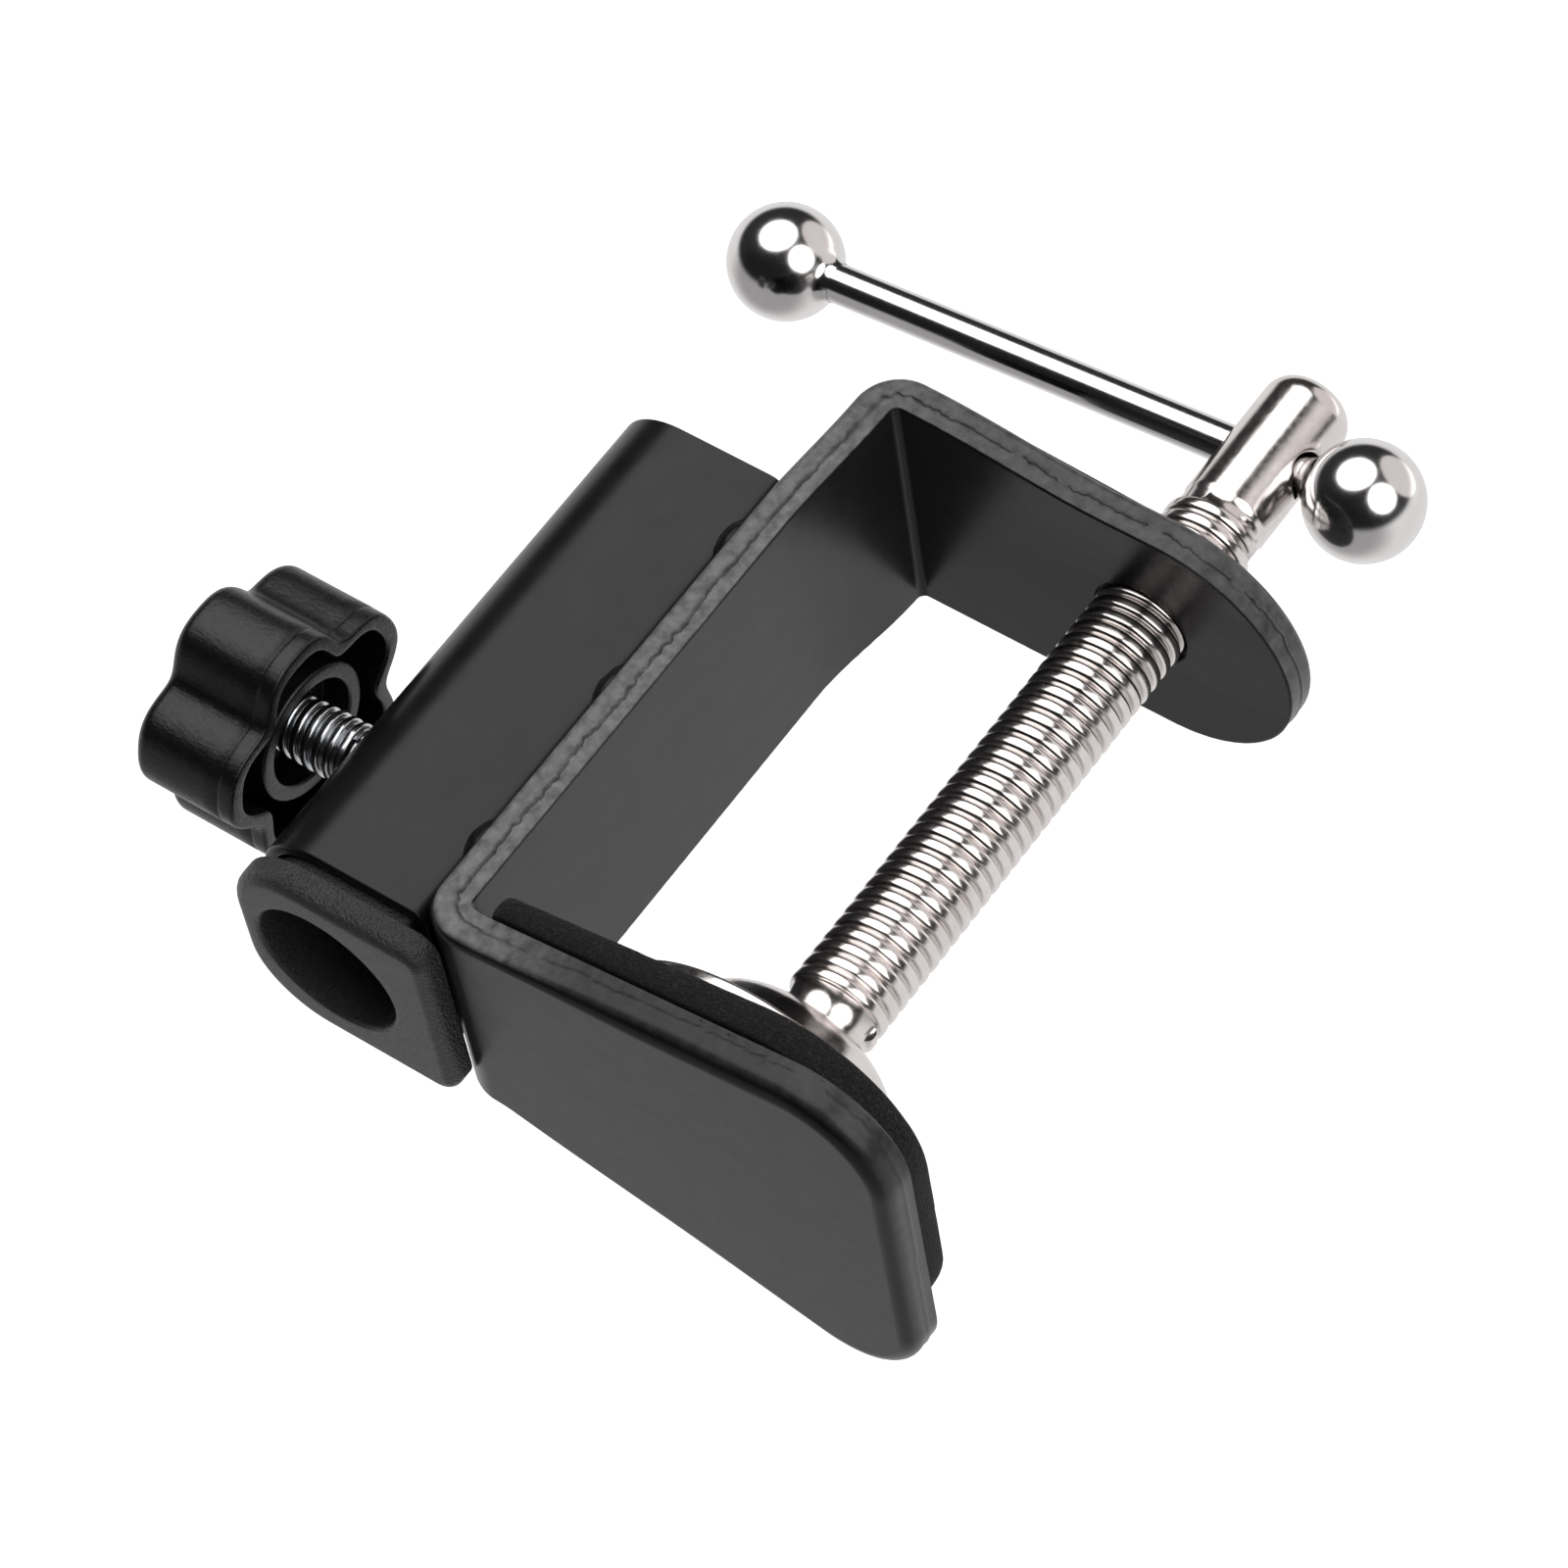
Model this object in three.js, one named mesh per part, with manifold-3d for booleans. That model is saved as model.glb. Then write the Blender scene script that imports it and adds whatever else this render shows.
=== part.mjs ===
// Table clamp with a rod socket: a bent steel bracket, a threaded clamp screw with a sliding T-handle and
// a dished pressure foot, a foam pad, and a D-shaped socket tube with a moulded bush and a lock knob.
//
// Frame: millimetres, +Z up. The origin is the centre of the foam pad's lower face, on the screw's axis.
// The jaws open towards +X, the socket tube stands on the -X side, and Y runs across the bracket.

import * as THREE from 'three';
import { mergeVertices } from 'three/addons/utils/BufferGeometryUtils.js';
import Module from 'manifold-3d';

const wasm = await Module();
wasm.setup();

// ---------------------------------------------------------------- driving dimensions, millimetres

const GAP = 0.3;                  // clearance kept between separate pieces that meet

const PLATE = 3.8;                // bracket plate thickness
const PLATE_WIDTH = 27.5;         // width of the spine and of the threaded jaw
const JAW_INSIDE = 62.6;          // height between the two jaws' inner faces
const SCREW_TO_SPINE = 27;        // screw axis to the spine's inner face
const BEND_OUTER_RADIUS = 4.6;
const BEND_INNER_RADIUS = 0.8;
const TIP_ARC_X = 2.6;            // centre of the threaded jaw's round end
const PAD_JAW_TIP_X = 20.3;       // square end of the wide, padded jaw
const PAD_JAW_TIP_WIDTH = 45.6;   // where the jaw's sides would meet its end
const PAD_JAW_CORNER = 9;
const PAD_THICKNESS = 3.1;
const PAD_OVERHANG = 0.6;
const PAD_TIP_X = 19.2;            // the foam stops short of the jaw's end
const PAD_CORNER = 13;

const TUBE_HALF_WIDTH = 10.7;
const TUBE_DEPTH = 19.4;
const TUBE_WALL = 1.2;
const TUBE_BOTTOM_Z = -50.2;
const TUBE_TOP_Z = 4.4;
const TUBE_BACK_CORNER = 1.8;     // small corners beside the spine
const TUBE_FRONT_CORNER = 7.6;    // large corners on the outer side

const BORE_RADIUS = 7.5;
const BORE_X = -40.9;
const BORE_LEAD_IN = 0.5;
const BUSH_SLEEVE_BOTTOM_Z = -21;
const FLANGE_BOTTOM_Z = 5.8;
const FLANGE_TOP_Z = 8.7;
const FLANGE_HALF_WIDTH = 11.2;
const FLANGE_BACK_X = -29.5;
const FLANGE_FRONT_X = -50.8;
const FLANGE_EDGE = 0.7;
const FLANGE_BACK_CORNER = 2.2;

const WELD_Z = [-42.5, -23.8, -4.9];
const WELD_RADII = { x: 1.5, y: 1.6, z: 3.2 };

const THREAD_RADIUS = 4.725;      // three eighths of an inch, over the crests
const THREAD_PITCH = 1.5875;
const THREAD_TOP_Z = -9.5;
const HEAD_TOP_Z = -73.1;
const HEAD_BOTTOM_Z = -89.2;
const HEAD_RADIUS = 4.4;
const HEAD_DOME = 2.6;
const NECK_RADIUS = 4;
const SPIGOT_RADIUS = 2.6;
const RIVET_RADIUS = 4;

const FOOT_RADIUS = 16.6;
const FOOT_WALL = 1.5;             // height of the upright edge round the foot
const FOOT_TOP_Z = -0.5;
const FOOT_BACK_Z = -8.7;
const FOOT_SHEET = 1.2;

const HANDLE_Z = -80.8;
const HANDLE_ANGLE = 0.11;        // radians from +X, turned about the screw
const HANDLE_RADIUS = 1.95;
const BALL_RADIUS = 5.75;
const BALL_NEAR = 10.5;           // ball centres, measured from the screw's axis
const BALL_FAR = 55.6;
const BALL_SOCKET_DEPTH = 4.5;

const LOCK_Z = -10.9;             // height of the lock bolt's axis
const BOLT_RADIUS = 3.16;         // quarter of an inch, over the crests
const BOLT_POINT_RADIUS = 2.3;
const BOLT_POINT_X = -48.75;
const BOLT_POINT_LENGTH = 1.6;
const KNOB_RIM_X = -56.8;
const KNOB_CAP_X = -68.4;
const KNOB_RADIUS = 11.55;
const KNOB_LOBE = 1.15;           // lobes rise and fall by this much
const KNOB_LOBES = 5;
const KNOB_WALL = 1.8;
const KNOB_FLOOR = 4;
const KNOB_EDGE = 1.4;
const KNOB_BOSS_RADIUS = 7.05;
const KNOB_BOSS_SET_BACK = 0.8;
const KNOB_BOSS_RECESS_RADIUS = 5.4;
const KNOB_BOSS_RECESS_DEPTH = 3.2;

const ROUND = 40;                 // facets round a large circle
const SMALL_ROUND = 24;

// ---------------------------------------------------------------- values worked out from them

const jawInnerZ = PAD_THICKNESS;
const jawOuterZ = jawInnerZ + PLATE;
const threadJawInnerZ = jawInnerZ - JAW_INSIDE;
const threadJawOuterZ = threadJawInnerZ - PLATE;
const spineInnerX = -SCREW_TO_SPINE;
const spineOuterX = spineInnerX - PLATE;
const halfWidth = PLATE_WIDTH / 2;
const tubeBackX = spineOuterX - GAP;
const tubeFrontX = tubeBackX - TUBE_DEPTH;

// ---------------------------------------------------------------- materials

const steel = (color, roughness) => new THREE.MeshStandardMaterial({ color, roughness, metalness: 1 });
const coating = (color, roughness) => new THREE.MeshStandardMaterial({ color, roughness, metalness: 0 });

const paint = () => coating(0x1b1b1d, 0.38);
const foam = () => coating(0x101010, 0.95);
const plastic = () => coating(0x161617, 0.55);
const nickel = () => steel(0xcfc8c2, 0.24);
const chrome = () => steel(0xd8d8da, 0.08);
const zinc = () => steel(0xdadde0, 0.2);

// ---------------------------------------------------------------- solids

function toSolid(geometry) {
  const bare = geometry.index ? geometry.toNonIndexed() : geometry.clone();
  for (const name of Object.keys(bare.attributes)) {
    if (name !== 'position') bare.deleteAttribute(name);
  }
  const merged = mergeVertices(bare, 1e-4);
  return new wasm.Manifold(new wasm.Mesh({
    numProp: 3,
    vertProperties: new Float32Array(merged.attributes.position.array),
    triVerts: new Uint32Array(merged.index.array),
  }));
}

function toGeometry(solid) {
  const mesh = solid.getMesh();
  const geometry = new THREE.BufferGeometry();
  geometry.setAttribute('position', new THREE.BufferAttribute(new Float32Array(mesh.vertProperties), 3));
  geometry.setIndex(new THREE.BufferAttribute(new Uint32Array(mesh.triVerts), 1));
  geometry.computeVertexNormals();
  return geometry;
}

// A prism of a shape drawn in XY, standing from one height to another.
function prism(shape, fromZ, toZ, curveSegments = 12) {
  const geometry = new THREE.ExtrudeGeometry(shape, {
    depth: toZ - fromZ,
    bevelEnabled: false,
    curveSegments,
  });
  return toSolid(geometry.translate(0, 0, fromZ));
}

// A prism of a shape drawn in XZ, running across the part from one Y to another.
function crossPrism(shape, fromY, toY, curveSegments = 12) {
  const geometry = new THREE.ExtrudeGeometry(shape, {
    depth: toY - fromY,
    bevelEnabled: false,
    curveSegments,
  });
  return toSolid(geometry.rotateX(Math.PI / 2).translate(0, toY, 0));
}

// A turned solid about the Z axis. Each point is [radius, z]; the profile starts and ends on the axis.
function turned(profile, segments = ROUND) {
  const points = profile.map(([radius, z]) => new THREE.Vector2(radius, z));
  return toSolid(new THREE.LatheGeometry(points, segments).rotateX(Math.PI / 2));
}

// A turned solid about the X axis at the lock bolt's height. Each point is [radius, x].
function turnedAlongX(profile, segments = SMALL_ROUND) {
  const points = profile.map(([radius, x]) => new THREE.Vector2(radius, x));
  const geometry = new THREE.LatheGeometry(points, segments).rotateX(Math.PI / 2).rotateY(Math.PI / 2);
  return toSolid(geometry.translate(0, 0, LOCK_Z));
}

function rodAlongX(radius, fromX, toX, segments = SMALL_ROUND) {
  return turnedAlongX([[0, fromX], [radius, fromX], [radius, toX], [0, toX]], segments);
}

function rodAlongZ(radius, x, fromZ, toZ, segments = ROUND) {
  const geometry = new THREE.CylinderGeometry(radius, radius, toZ - fromZ, segments);
  return toSolid(geometry.rotateX(Math.PI / 2).translate(x, 0, (fromZ + toZ) / 2));
}

// Quarter-round points from one [radius, z] corner to the next, for a turned profile.
function quarterArc(centre, radius, fromAngle, toAngle, steps = 4) {
  const points = [];
  for (let i = 0; i <= steps; i += 1) {
    const angle = fromAngle + ((toAngle - fromAngle) * i) / steps;
    points.push([centre[0] + radius * Math.cos(angle), centre[1] + radius * Math.sin(angle)]);
  }
  return points;
}

const object = new THREE.Group();

function add(name, solid, material) {
  const mesh = new THREE.Mesh(toGeometry(solid), material);
  mesh.name = name;
  object.add(mesh);
  return mesh;
}

// ---------------------------------------------------------------- bracket

// The plate seen from the side: padded jaw above, spine, threaded jaw below.
function bracketProfile() {
  const reach = 40;
  const outer = BEND_OUTER_RADIUS;
  const inner = BEND_INNER_RADIUS;
  const shape = new THREE.Shape();
  shape.moveTo(reach, jawOuterZ);
  shape.lineTo(spineOuterX + outer, jawOuterZ);
  shape.absarc(spineOuterX + outer, jawOuterZ - outer, outer, Math.PI / 2, Math.PI, false);
  shape.lineTo(spineOuterX, threadJawOuterZ + outer);
  shape.absarc(spineOuterX + outer, threadJawOuterZ + outer, outer, Math.PI, 1.5 * Math.PI, false);
  shape.lineTo(reach, threadJawOuterZ);
  shape.lineTo(reach, threadJawInnerZ);
  shape.lineTo(spineInnerX + inner, threadJawInnerZ);
  shape.absarc(spineInnerX + inner, threadJawInnerZ + inner, inner, 1.5 * Math.PI, Math.PI, true);
  shape.lineTo(spineInnerX, jawInnerZ - inner);
  shape.absarc(spineInnerX + inner, jawInnerZ - inner, inner, Math.PI, Math.PI / 2, true);
  shape.lineTo(reach, jawInnerZ);
  shape.closePath();
  return shape;
}

// The spine and the threaded jaw seen from above, with the jaw's round end.
function threadJawOutline() {
  const shape = new THREE.Shape();
  shape.moveTo(spineOuterX - 1, -halfWidth);
  shape.lineTo(TIP_ARC_X, -halfWidth);
  shape.absarc(TIP_ARC_X, 0, halfWidth, -Math.PI / 2, Math.PI / 2, false);
  shape.lineTo(spineOuterX - 1, halfWidth);
  shape.closePath();
  return shape;
}

// The padded jaw seen from above: it widens from the spine to a square end with rounded corners.
function padJawOutline(grow = 0, startX = spineOuterX - 1, endX = PAD_JAW_TIP_X, corner = PAD_JAW_CORNER) {
  const flareStart = spineInnerX + 2;
  const tipHalf = PAD_JAW_TIP_WIDTH / 2;
  const slope = (tipHalf - halfWidth) / (PAD_JAW_TIP_X - flareStart);
  const sideAngle = Math.atan(slope);
  const halfAt = (x) => halfWidth + grow + Math.max(0, x - flareStart) * slope;
  const arcX = endX - corner;
  const arcY = halfAt(endX) - corner * (Math.tan(sideAngle) + 1 / Math.cos(sideAngle));
  const shape = new THREE.Shape();
  shape.moveTo(startX, -halfAt(startX));
  if (startX < flareStart) shape.lineTo(flareStart, -halfAt(flareStart));
  shape.absarc(arcX, -arcY, corner, -Math.PI / 2 - sideAngle, 0, false);
  shape.absarc(arcX, arcY, corner, 0, Math.PI / 2 + sideAngle, false);
  if (startX < flareStart) shape.lineTo(flareStart, halfAt(flareStart));
  shape.lineTo(startX, halfAt(startX));
  shape.closePath();
  return shape;
}

function makeBracket() {
  const split = jawInnerZ - 4;
  const overlap = 1;
  const plate = crossPrism(bracketProfile(), -30, 30, 8);
  const lower = prism(threadJawOutline(), threadJawOuterZ - 1, split + overlap, 20);
  const upper = prism(padJawOutline(), split, jawOuterZ + 1, 10);
  const hole = rodAlongZ(THREAD_RADIUS + GAP, 0, threadJawOuterZ - 1, threadJawInnerZ + 1);
  return plate.intersect(lower.add(upper)).subtract(hole);
}

const bracket = makeBracket();
add('bracket', bracket, paint());

// ---------------------------------------------------------------- foam pad

function makePad() {
  const glueGap = 0.1;
  const outline = padJawOutline(PAD_OVERHANG, spineInnerX + 1.2, PAD_TIP_X, PAD_CORNER);
  return prism(outline, 0, jawInnerZ - glueGap, 10);
}

add('foam_pad', makePad(), foam());

// ---------------------------------------------------------------- socket tube

// D-shaped section: flat beside the spine, small corners there and large corners outside.
function socketSection(inset) {
  const back = tubeBackX - inset;
  const front = tubeFrontX + inset;
  const half = TUBE_HALF_WIDTH - inset;
  const small = Math.max(0.5, TUBE_BACK_CORNER - inset);
  const large = TUBE_FRONT_CORNER - inset;
  const shape = new THREE.Shape();
  shape.moveTo(back, 0);
  shape.absarc(back - small, half - small, small, 0, Math.PI / 2, false);
  shape.absarc(front + large, half - large, large, Math.PI / 2, Math.PI, false);
  shape.absarc(front + large, large - half, large, Math.PI, 1.5 * Math.PI, false);
  shape.absarc(back - small, small - half, small, 1.5 * Math.PI, 2 * Math.PI, false);
  shape.closePath();
  return shape;
}

function makeTube() {
  const outer = prism(socketSection(0), TUBE_BOTTOM_Z, TUBE_TOP_Z, 6);
  const inner = prism(socketSection(TUBE_WALL), TUBE_BOTTOM_Z - 1, TUBE_TOP_Z + 1, 6);
  const boltHole = rodAlongX(BOLT_RADIUS + GAP, tubeFrontX - 1, BORE_X);
  return outer.subtract(inner).subtract(boltHole);
}

add('socket_tube', makeTube(), paint());

// ---------------------------------------------------------------- socket bush

// The flange repeats the tube's outline, and its flat side reaches over the bracket's bend.
function flangeOutline(inset = 0) {
  const back = FLANGE_BACK_X - inset;
  const front = FLANGE_FRONT_X + inset;
  const half = FLANGE_HALF_WIDTH - inset;
  const small = FLANGE_BACK_CORNER - inset;
  const large = TUBE_FRONT_CORNER + 0.4 - inset;
  const shape = new THREE.Shape();
  shape.moveTo(back, 0);
  shape.absarc(back - small, half - small, small, 0, Math.PI / 2, false);
  shape.absarc(front + large, half - large, large, Math.PI / 2, Math.PI, false);
  shape.absarc(front + large, large - half, large, Math.PI, 1.5 * Math.PI, false);
  shape.absarc(back - small, small - half, small, 1.5 * Math.PI, 2 * Math.PI, false);
  shape.closePath();
  return shape;
}

function makeBush() {
  const sleeve = prism(socketSection(TUBE_WALL + GAP), BUSH_SLEEVE_BOTTOM_Z, FLANGE_BOTTOM_Z + 0.5, 6);
  const flange = prism(flangeOutline(), FLANGE_BOTTOM_Z, FLANGE_TOP_Z - FLANGE_EDGE, 6);
  const face = prism(flangeOutline(FLANGE_EDGE), FLANGE_BOTTOM_Z + 1, FLANGE_TOP_Z, 6);
  const bore = rodAlongZ(BORE_RADIUS, BORE_X, BUSH_SLEEVE_BOTTOM_Z - 1, FLANGE_TOP_Z + 1);
  const leadIn = rodAlongZ(BORE_RADIUS + BORE_LEAD_IN, BORE_X, FLANGE_TOP_Z - BORE_LEAD_IN, FLANGE_TOP_Z + 1);
  const boltHole = rodAlongX(BOLT_RADIUS + GAP, tubeFrontX - 1, BORE_X);
  return sleeve.add(flange).add(face).subtract(bore).subtract(leadIn).subtract(boltHole);
}

add('socket_bush', makeBush(), plastic());

// ---------------------------------------------------------------- welds between the tube and the spine

function makeWeld(side, z) {
  const weldGap = 0.1;
  const y = side * (TUBE_HALF_WIDTH - 0.2);
  const bead = new THREE.SphereGeometry(1, 12, 8);
  bead.scale(WELD_RADII.x, WELD_RADII.y, WELD_RADII.z).translate(spineOuterX - 0.9, y, z);
  const keep = new THREE.BoxGeometry(4, 8, 10).translate(spineOuterX - weldGap - 2, y, z);
  const tube = prism(socketSection(-weldGap), z - 8, z + 8, 6);
  return toSolid(bead).intersect(toSolid(keep)).subtract(tube);
}

for (const [side, word] of [[1, 'near'], [-1, 'far']]) {
  WELD_Z.forEach((z, i) => add(`weld_${word}_${i + 1}`, makeWeld(side, z), paint()));
}

// ---------------------------------------------------------------- clamp screw

const spigotTopZ = FOOT_BACK_Z + FOOT_SHEET + GAP;

function makeScrew() {
  const domeSteps = quarterArc([HEAD_RADIUS - HEAD_DOME, HEAD_BOTTOM_Z + HEAD_DOME], HEAD_DOME, -Math.PI / 2, 0);
  const body = turned([
    [0, HEAD_BOTTOM_Z],
    ...domeSteps,
    [HEAD_RADIUS, HEAD_TOP_Z],
    [THREAD_RADIUS, HEAD_TOP_Z + 0.6],
    [THREAD_RADIUS, THREAD_TOP_Z - 0.6],
    [NECK_RADIUS, THREAD_TOP_Z],
    [NECK_RADIUS, FOOT_BACK_Z - GAP],
    [SPIGOT_RADIUS, FOOT_BACK_Z - GAP],
    [SPIGOT_RADIUS, spigotTopZ],
    [RIVET_RADIUS, spigotTopZ],
    [RIVET_RADIUS - 0.4, spigotTopZ + 0.9],
    [RIVET_RADIUS - 1.6, spigotTopZ + 1.4],
    [0, spigotTopZ + 1.5],
  ]);
  const hole = new THREE.CylinderGeometry(HANDLE_RADIUS + GAP, HANDLE_RADIUS + GAP, 20, SMALL_ROUND);
  hole.rotateZ(Math.PI / 2).rotateZ(HANDLE_ANGLE).translate(0, 0, HANDLE_Z);
  return body.subtract(toSolid(hole));
}

add('clamp_screw', makeScrew(), nickel());

// ---------------------------------------------------------------- pressure foot

// A pressed bell: a flat middle riveted to the screw, a cone, and a flat ring that meets the table.
function makeFoot() {
  const sheet = FOOT_SHEET;
  const hole = SPIGOT_RADIUS + GAP;
  const lip = FOOT_TOP_Z;
  const back = FOOT_BACK_Z;
  const points = [
    [hole, back],
    [5.4, back],
    [7, back + 0.5],
    [9.4, back + 1.9],
    [11.4, back + 4.1],
    [12.6, lip - FOOT_WALL - 0.5],
    [13.5, lip - FOOT_WALL],
    [FOOT_RADIUS - 0.3, lip - FOOT_WALL],
    [FOOT_RADIUS, lip - FOOT_WALL + 0.3],
    [FOOT_RADIUS, lip - 0.3],
    [FOOT_RADIUS - 0.3, lip],
    [13, lip],
    [11.9, lip - 0.9],
    [10.2, back + 4.9],
    [8.7, back + 2.9],
    [6.7, back + 1.6],
    [5.2, back + sheet],
    [hole, back + sheet],
    [hole, back],
  ].map(([radius, z]) => new THREE.Vector2(radius, z));
  return toSolid(new THREE.LatheGeometry(points, ROUND).rotateX(Math.PI / 2));
}

add('pressure_foot', makeFoot(), nickel());

// ---------------------------------------------------------------- T-handle

// A handle piece is made along X, then turned to the handle's angle at the handle's height.
function placeHandle(solid) {
  const geometry = toGeometry(solid);
  geometry.rotateZ(HANDLE_ANGLE).translate(0, 0, HANDLE_Z);
  return geometry;
}

function barAlongX(radius, fromX, toX) {
  const geometry = new THREE.CylinderGeometry(radius, radius, toX - fromX, SMALL_ROUND);
  return toSolid(geometry.rotateZ(Math.PI / 2).translate((fromX + toX) / 2, 0, 0));
}

function addHandlePiece(name, solid) {
  const mesh = new THREE.Mesh(placeHandle(solid), chrome());
  mesh.name = name;
  object.add(mesh);
}

function makeBall(centreX) {
  const towardsScrew = -Math.sign(centreX);
  const ball = new THREE.SphereGeometry(BALL_RADIUS, SMALL_ROUND, 14).translate(centreX, 0, 0);
  const socketFrom = centreX + towardsScrew * (BALL_RADIUS - BALL_SOCKET_DEPTH);
  const socketTo = centreX + towardsScrew * (BALL_RADIUS + 1);
  const socket = barAlongX(HANDLE_RADIUS + GAP, Math.min(socketFrom, socketTo), Math.max(socketFrom, socketTo));
  return toSolid(ball).subtract(socket);
}

const barInset = BALL_RADIUS - BALL_SOCKET_DEPTH + GAP;
addHandlePiece('handle_bar', barAlongX(HANDLE_RADIUS, -BALL_FAR + barInset, BALL_NEAR - barInset));
addHandlePiece('handle_ball_far', makeBall(-BALL_FAR));
addHandlePiece('handle_ball_near', makeBall(BALL_NEAR));

// ---------------------------------------------------------------- lock knob and bolt

// Five-lobed outline, drawn in XY with its centre on the origin.
function lobedOutline(inset) {
  const steps = 60;
  const points = [];
  for (let i = 0; i < steps; i += 1) {
    const angle = (i / steps) * 2 * Math.PI;
    const radius = KNOB_RADIUS - inset + KNOB_LOBE * Math.cos(KNOB_LOBES * angle);
    points.push(new THREE.Vector2(radius * Math.cos(angle), radius * Math.sin(angle)));
  }
  return new THREE.Shape(points);
}

// A prism of the lobed outline along X, between two X positions.
function lobedPrism(inset, fromX, toX) {
  const geometry = new THREE.ExtrudeGeometry(lobedOutline(inset), { depth: toX - fromX, bevelEnabled: false });
  geometry.rotateX(Math.PI / 2).rotateZ(Math.PI / 2);
  return toSolid(geometry.translate(fromX, 0, LOCK_Z));
}

function makeKnob() {
  const bossX = KNOB_RIM_X - KNOB_BOSS_SET_BACK;
  const floorX = KNOB_CAP_X + KNOB_FLOOR;
  const body = lobedPrism(0, KNOB_CAP_X + KNOB_EDGE, KNOB_RIM_X);
  const cap = lobedPrism(KNOB_EDGE, KNOB_CAP_X, KNOB_CAP_X + KNOB_EDGE + 0.5);
  const hollow = lobedPrism(KNOB_WALL, floorX, KNOB_RIM_X + 1);
  const boss = rodAlongX(KNOB_BOSS_RADIUS, floorX - 0.5, bossX, ROUND);
  const recess = rodAlongX(KNOB_BOSS_RECESS_RADIUS, bossX - KNOB_BOSS_RECESS_DEPTH, bossX + 1);
  const boltHole = rodAlongX(BOLT_RADIUS + GAP, KNOB_CAP_X + 2, bossX + 1);
  return body.add(cap).subtract(hollow).add(boss).subtract(recess).subtract(boltHole);
}

add('lock_knob', makeKnob(), plastic());
add('lock_bolt', rodAlongX(BOLT_RADIUS, KNOB_CAP_X + 2.3, BOLT_POINT_X - BOLT_POINT_LENGTH - GAP / 3), zinc());
add('lock_bolt_point', turnedAlongX([
  [0, BOLT_POINT_X - BOLT_POINT_LENGTH],
  [BOLT_POINT_RADIUS, BOLT_POINT_X - BOLT_POINT_LENGTH],
  [BOLT_POINT_RADIUS, BOLT_POINT_X - 0.4],
  [BOLT_POINT_RADIUS - 0.4, BOLT_POINT_X],
  [0, BOLT_POINT_X],
]), zinc());

export default object;
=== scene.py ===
import math

import bmesh
import bpy
import numpy as np
from mathutils import Matrix, Quaternion, Vector, noise


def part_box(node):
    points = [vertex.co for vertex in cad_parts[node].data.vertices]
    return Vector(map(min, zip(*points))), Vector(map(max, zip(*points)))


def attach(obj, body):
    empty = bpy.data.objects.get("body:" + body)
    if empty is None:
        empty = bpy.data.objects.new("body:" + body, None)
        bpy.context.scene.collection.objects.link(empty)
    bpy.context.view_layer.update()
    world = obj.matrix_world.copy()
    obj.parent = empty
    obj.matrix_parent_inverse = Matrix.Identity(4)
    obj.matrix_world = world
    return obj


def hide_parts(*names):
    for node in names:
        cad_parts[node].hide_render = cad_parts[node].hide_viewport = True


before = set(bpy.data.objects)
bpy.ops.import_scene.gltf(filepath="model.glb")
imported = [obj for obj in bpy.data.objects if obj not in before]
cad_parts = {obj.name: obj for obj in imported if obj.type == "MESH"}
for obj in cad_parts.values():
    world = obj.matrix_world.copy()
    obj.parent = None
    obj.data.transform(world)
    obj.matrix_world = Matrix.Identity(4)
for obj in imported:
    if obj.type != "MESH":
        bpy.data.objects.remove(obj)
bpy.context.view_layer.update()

# Table clamp with a rod socket. Shapes are drawn in millimetres in the CAD frame: +Z up along the clamp
# screw, jaws open towards +X, socket tube on the -X side, origin on the foam pad's lower face.

MM = 0.001
TURN = 2 * math.pi


def corners(node):
    """Lowest and highest corner of a CAD node, in millimetres."""
    low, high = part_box(node)
    return np.array(low) / MM, np.array(high) / MM


bracket_low, bracket_high = corners("bracket")
pad_low, pad_high = corners("foam_pad")
tube_low, tube_high = corners("socket_tube")
bush_low, bush_high = corners("socket_bush")
screw_low, screw_high = corners("clamp_screw")
foot_low, foot_high = corners("pressure_foot")
knob_low, knob_high = corners("lock_knob")
bolt_low, bolt_high = corners("lock_bolt")
point_low, point_high = corners("lock_bolt_point")

# ------------ sizes, millimetres

PLATE = 3.8  # thickness
BEND_INNER = 0.8  # inside radius of both bends
ROUND_END_RADIUS = 13.75  # also half the spine's width
JAW_CORNER = 9.0
JAW_TIP_WIDTH = 45.6
JAW_TIP_X = 20.3
JAW_TILT = 0.0267  # rise of the padded jaw for each millimetre towards its tip
TILT_BLEND = 6.0  # stretch of the spine that the tilt starts in
LEAN_X = 1.2  # how far the bracket's lower part leans towards +X
LEAN_X_SKEW = 0.4  # less on the +Y side and more on the other
LEAN_Z = 0.55  # how far it sags
LEAN_SPINE_LENGTH = 15.0  # the lean fades out over this much of the spine
LEAN_JAW_LENGTH = 24.0  # and over this much of the threaded jaw
FLARE_START_X = -25.0
HOLE_RADIUS = 5.02
HOLE_CHAMFER = 1.3
PAD_OVERHANG = 0.6
PAD_TIP_X = 19.2
PAD_CORNER = 13.0

TUBE_WALL = 1.2
TUBE_EDGE = 0.35
TUBE_SMALL_CORNER = 1.8
TUBE_LARGE_CORNER = 7.6

BORE_X = -40.9
BORE_RADIUS = 7.5
BORE_LEAD_IN = 0.5  # rounding of the bore's mouth
SLEEVE_GAP = 0.3  # between the bush's sleeve and the tube
FLANGE_BOTTOM = 5.8
FLANGE_SMALL_CORNER = 2.2
FLANGE_LARGE_CORNER = 8.0
FLANGE_EDGE = 1.3
FLANGE_BACK_EXTRA = 1.2  # further towards the bracket than the CAD flange
WELD_RADII = (1.8, 1.6, 2.8)

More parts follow.
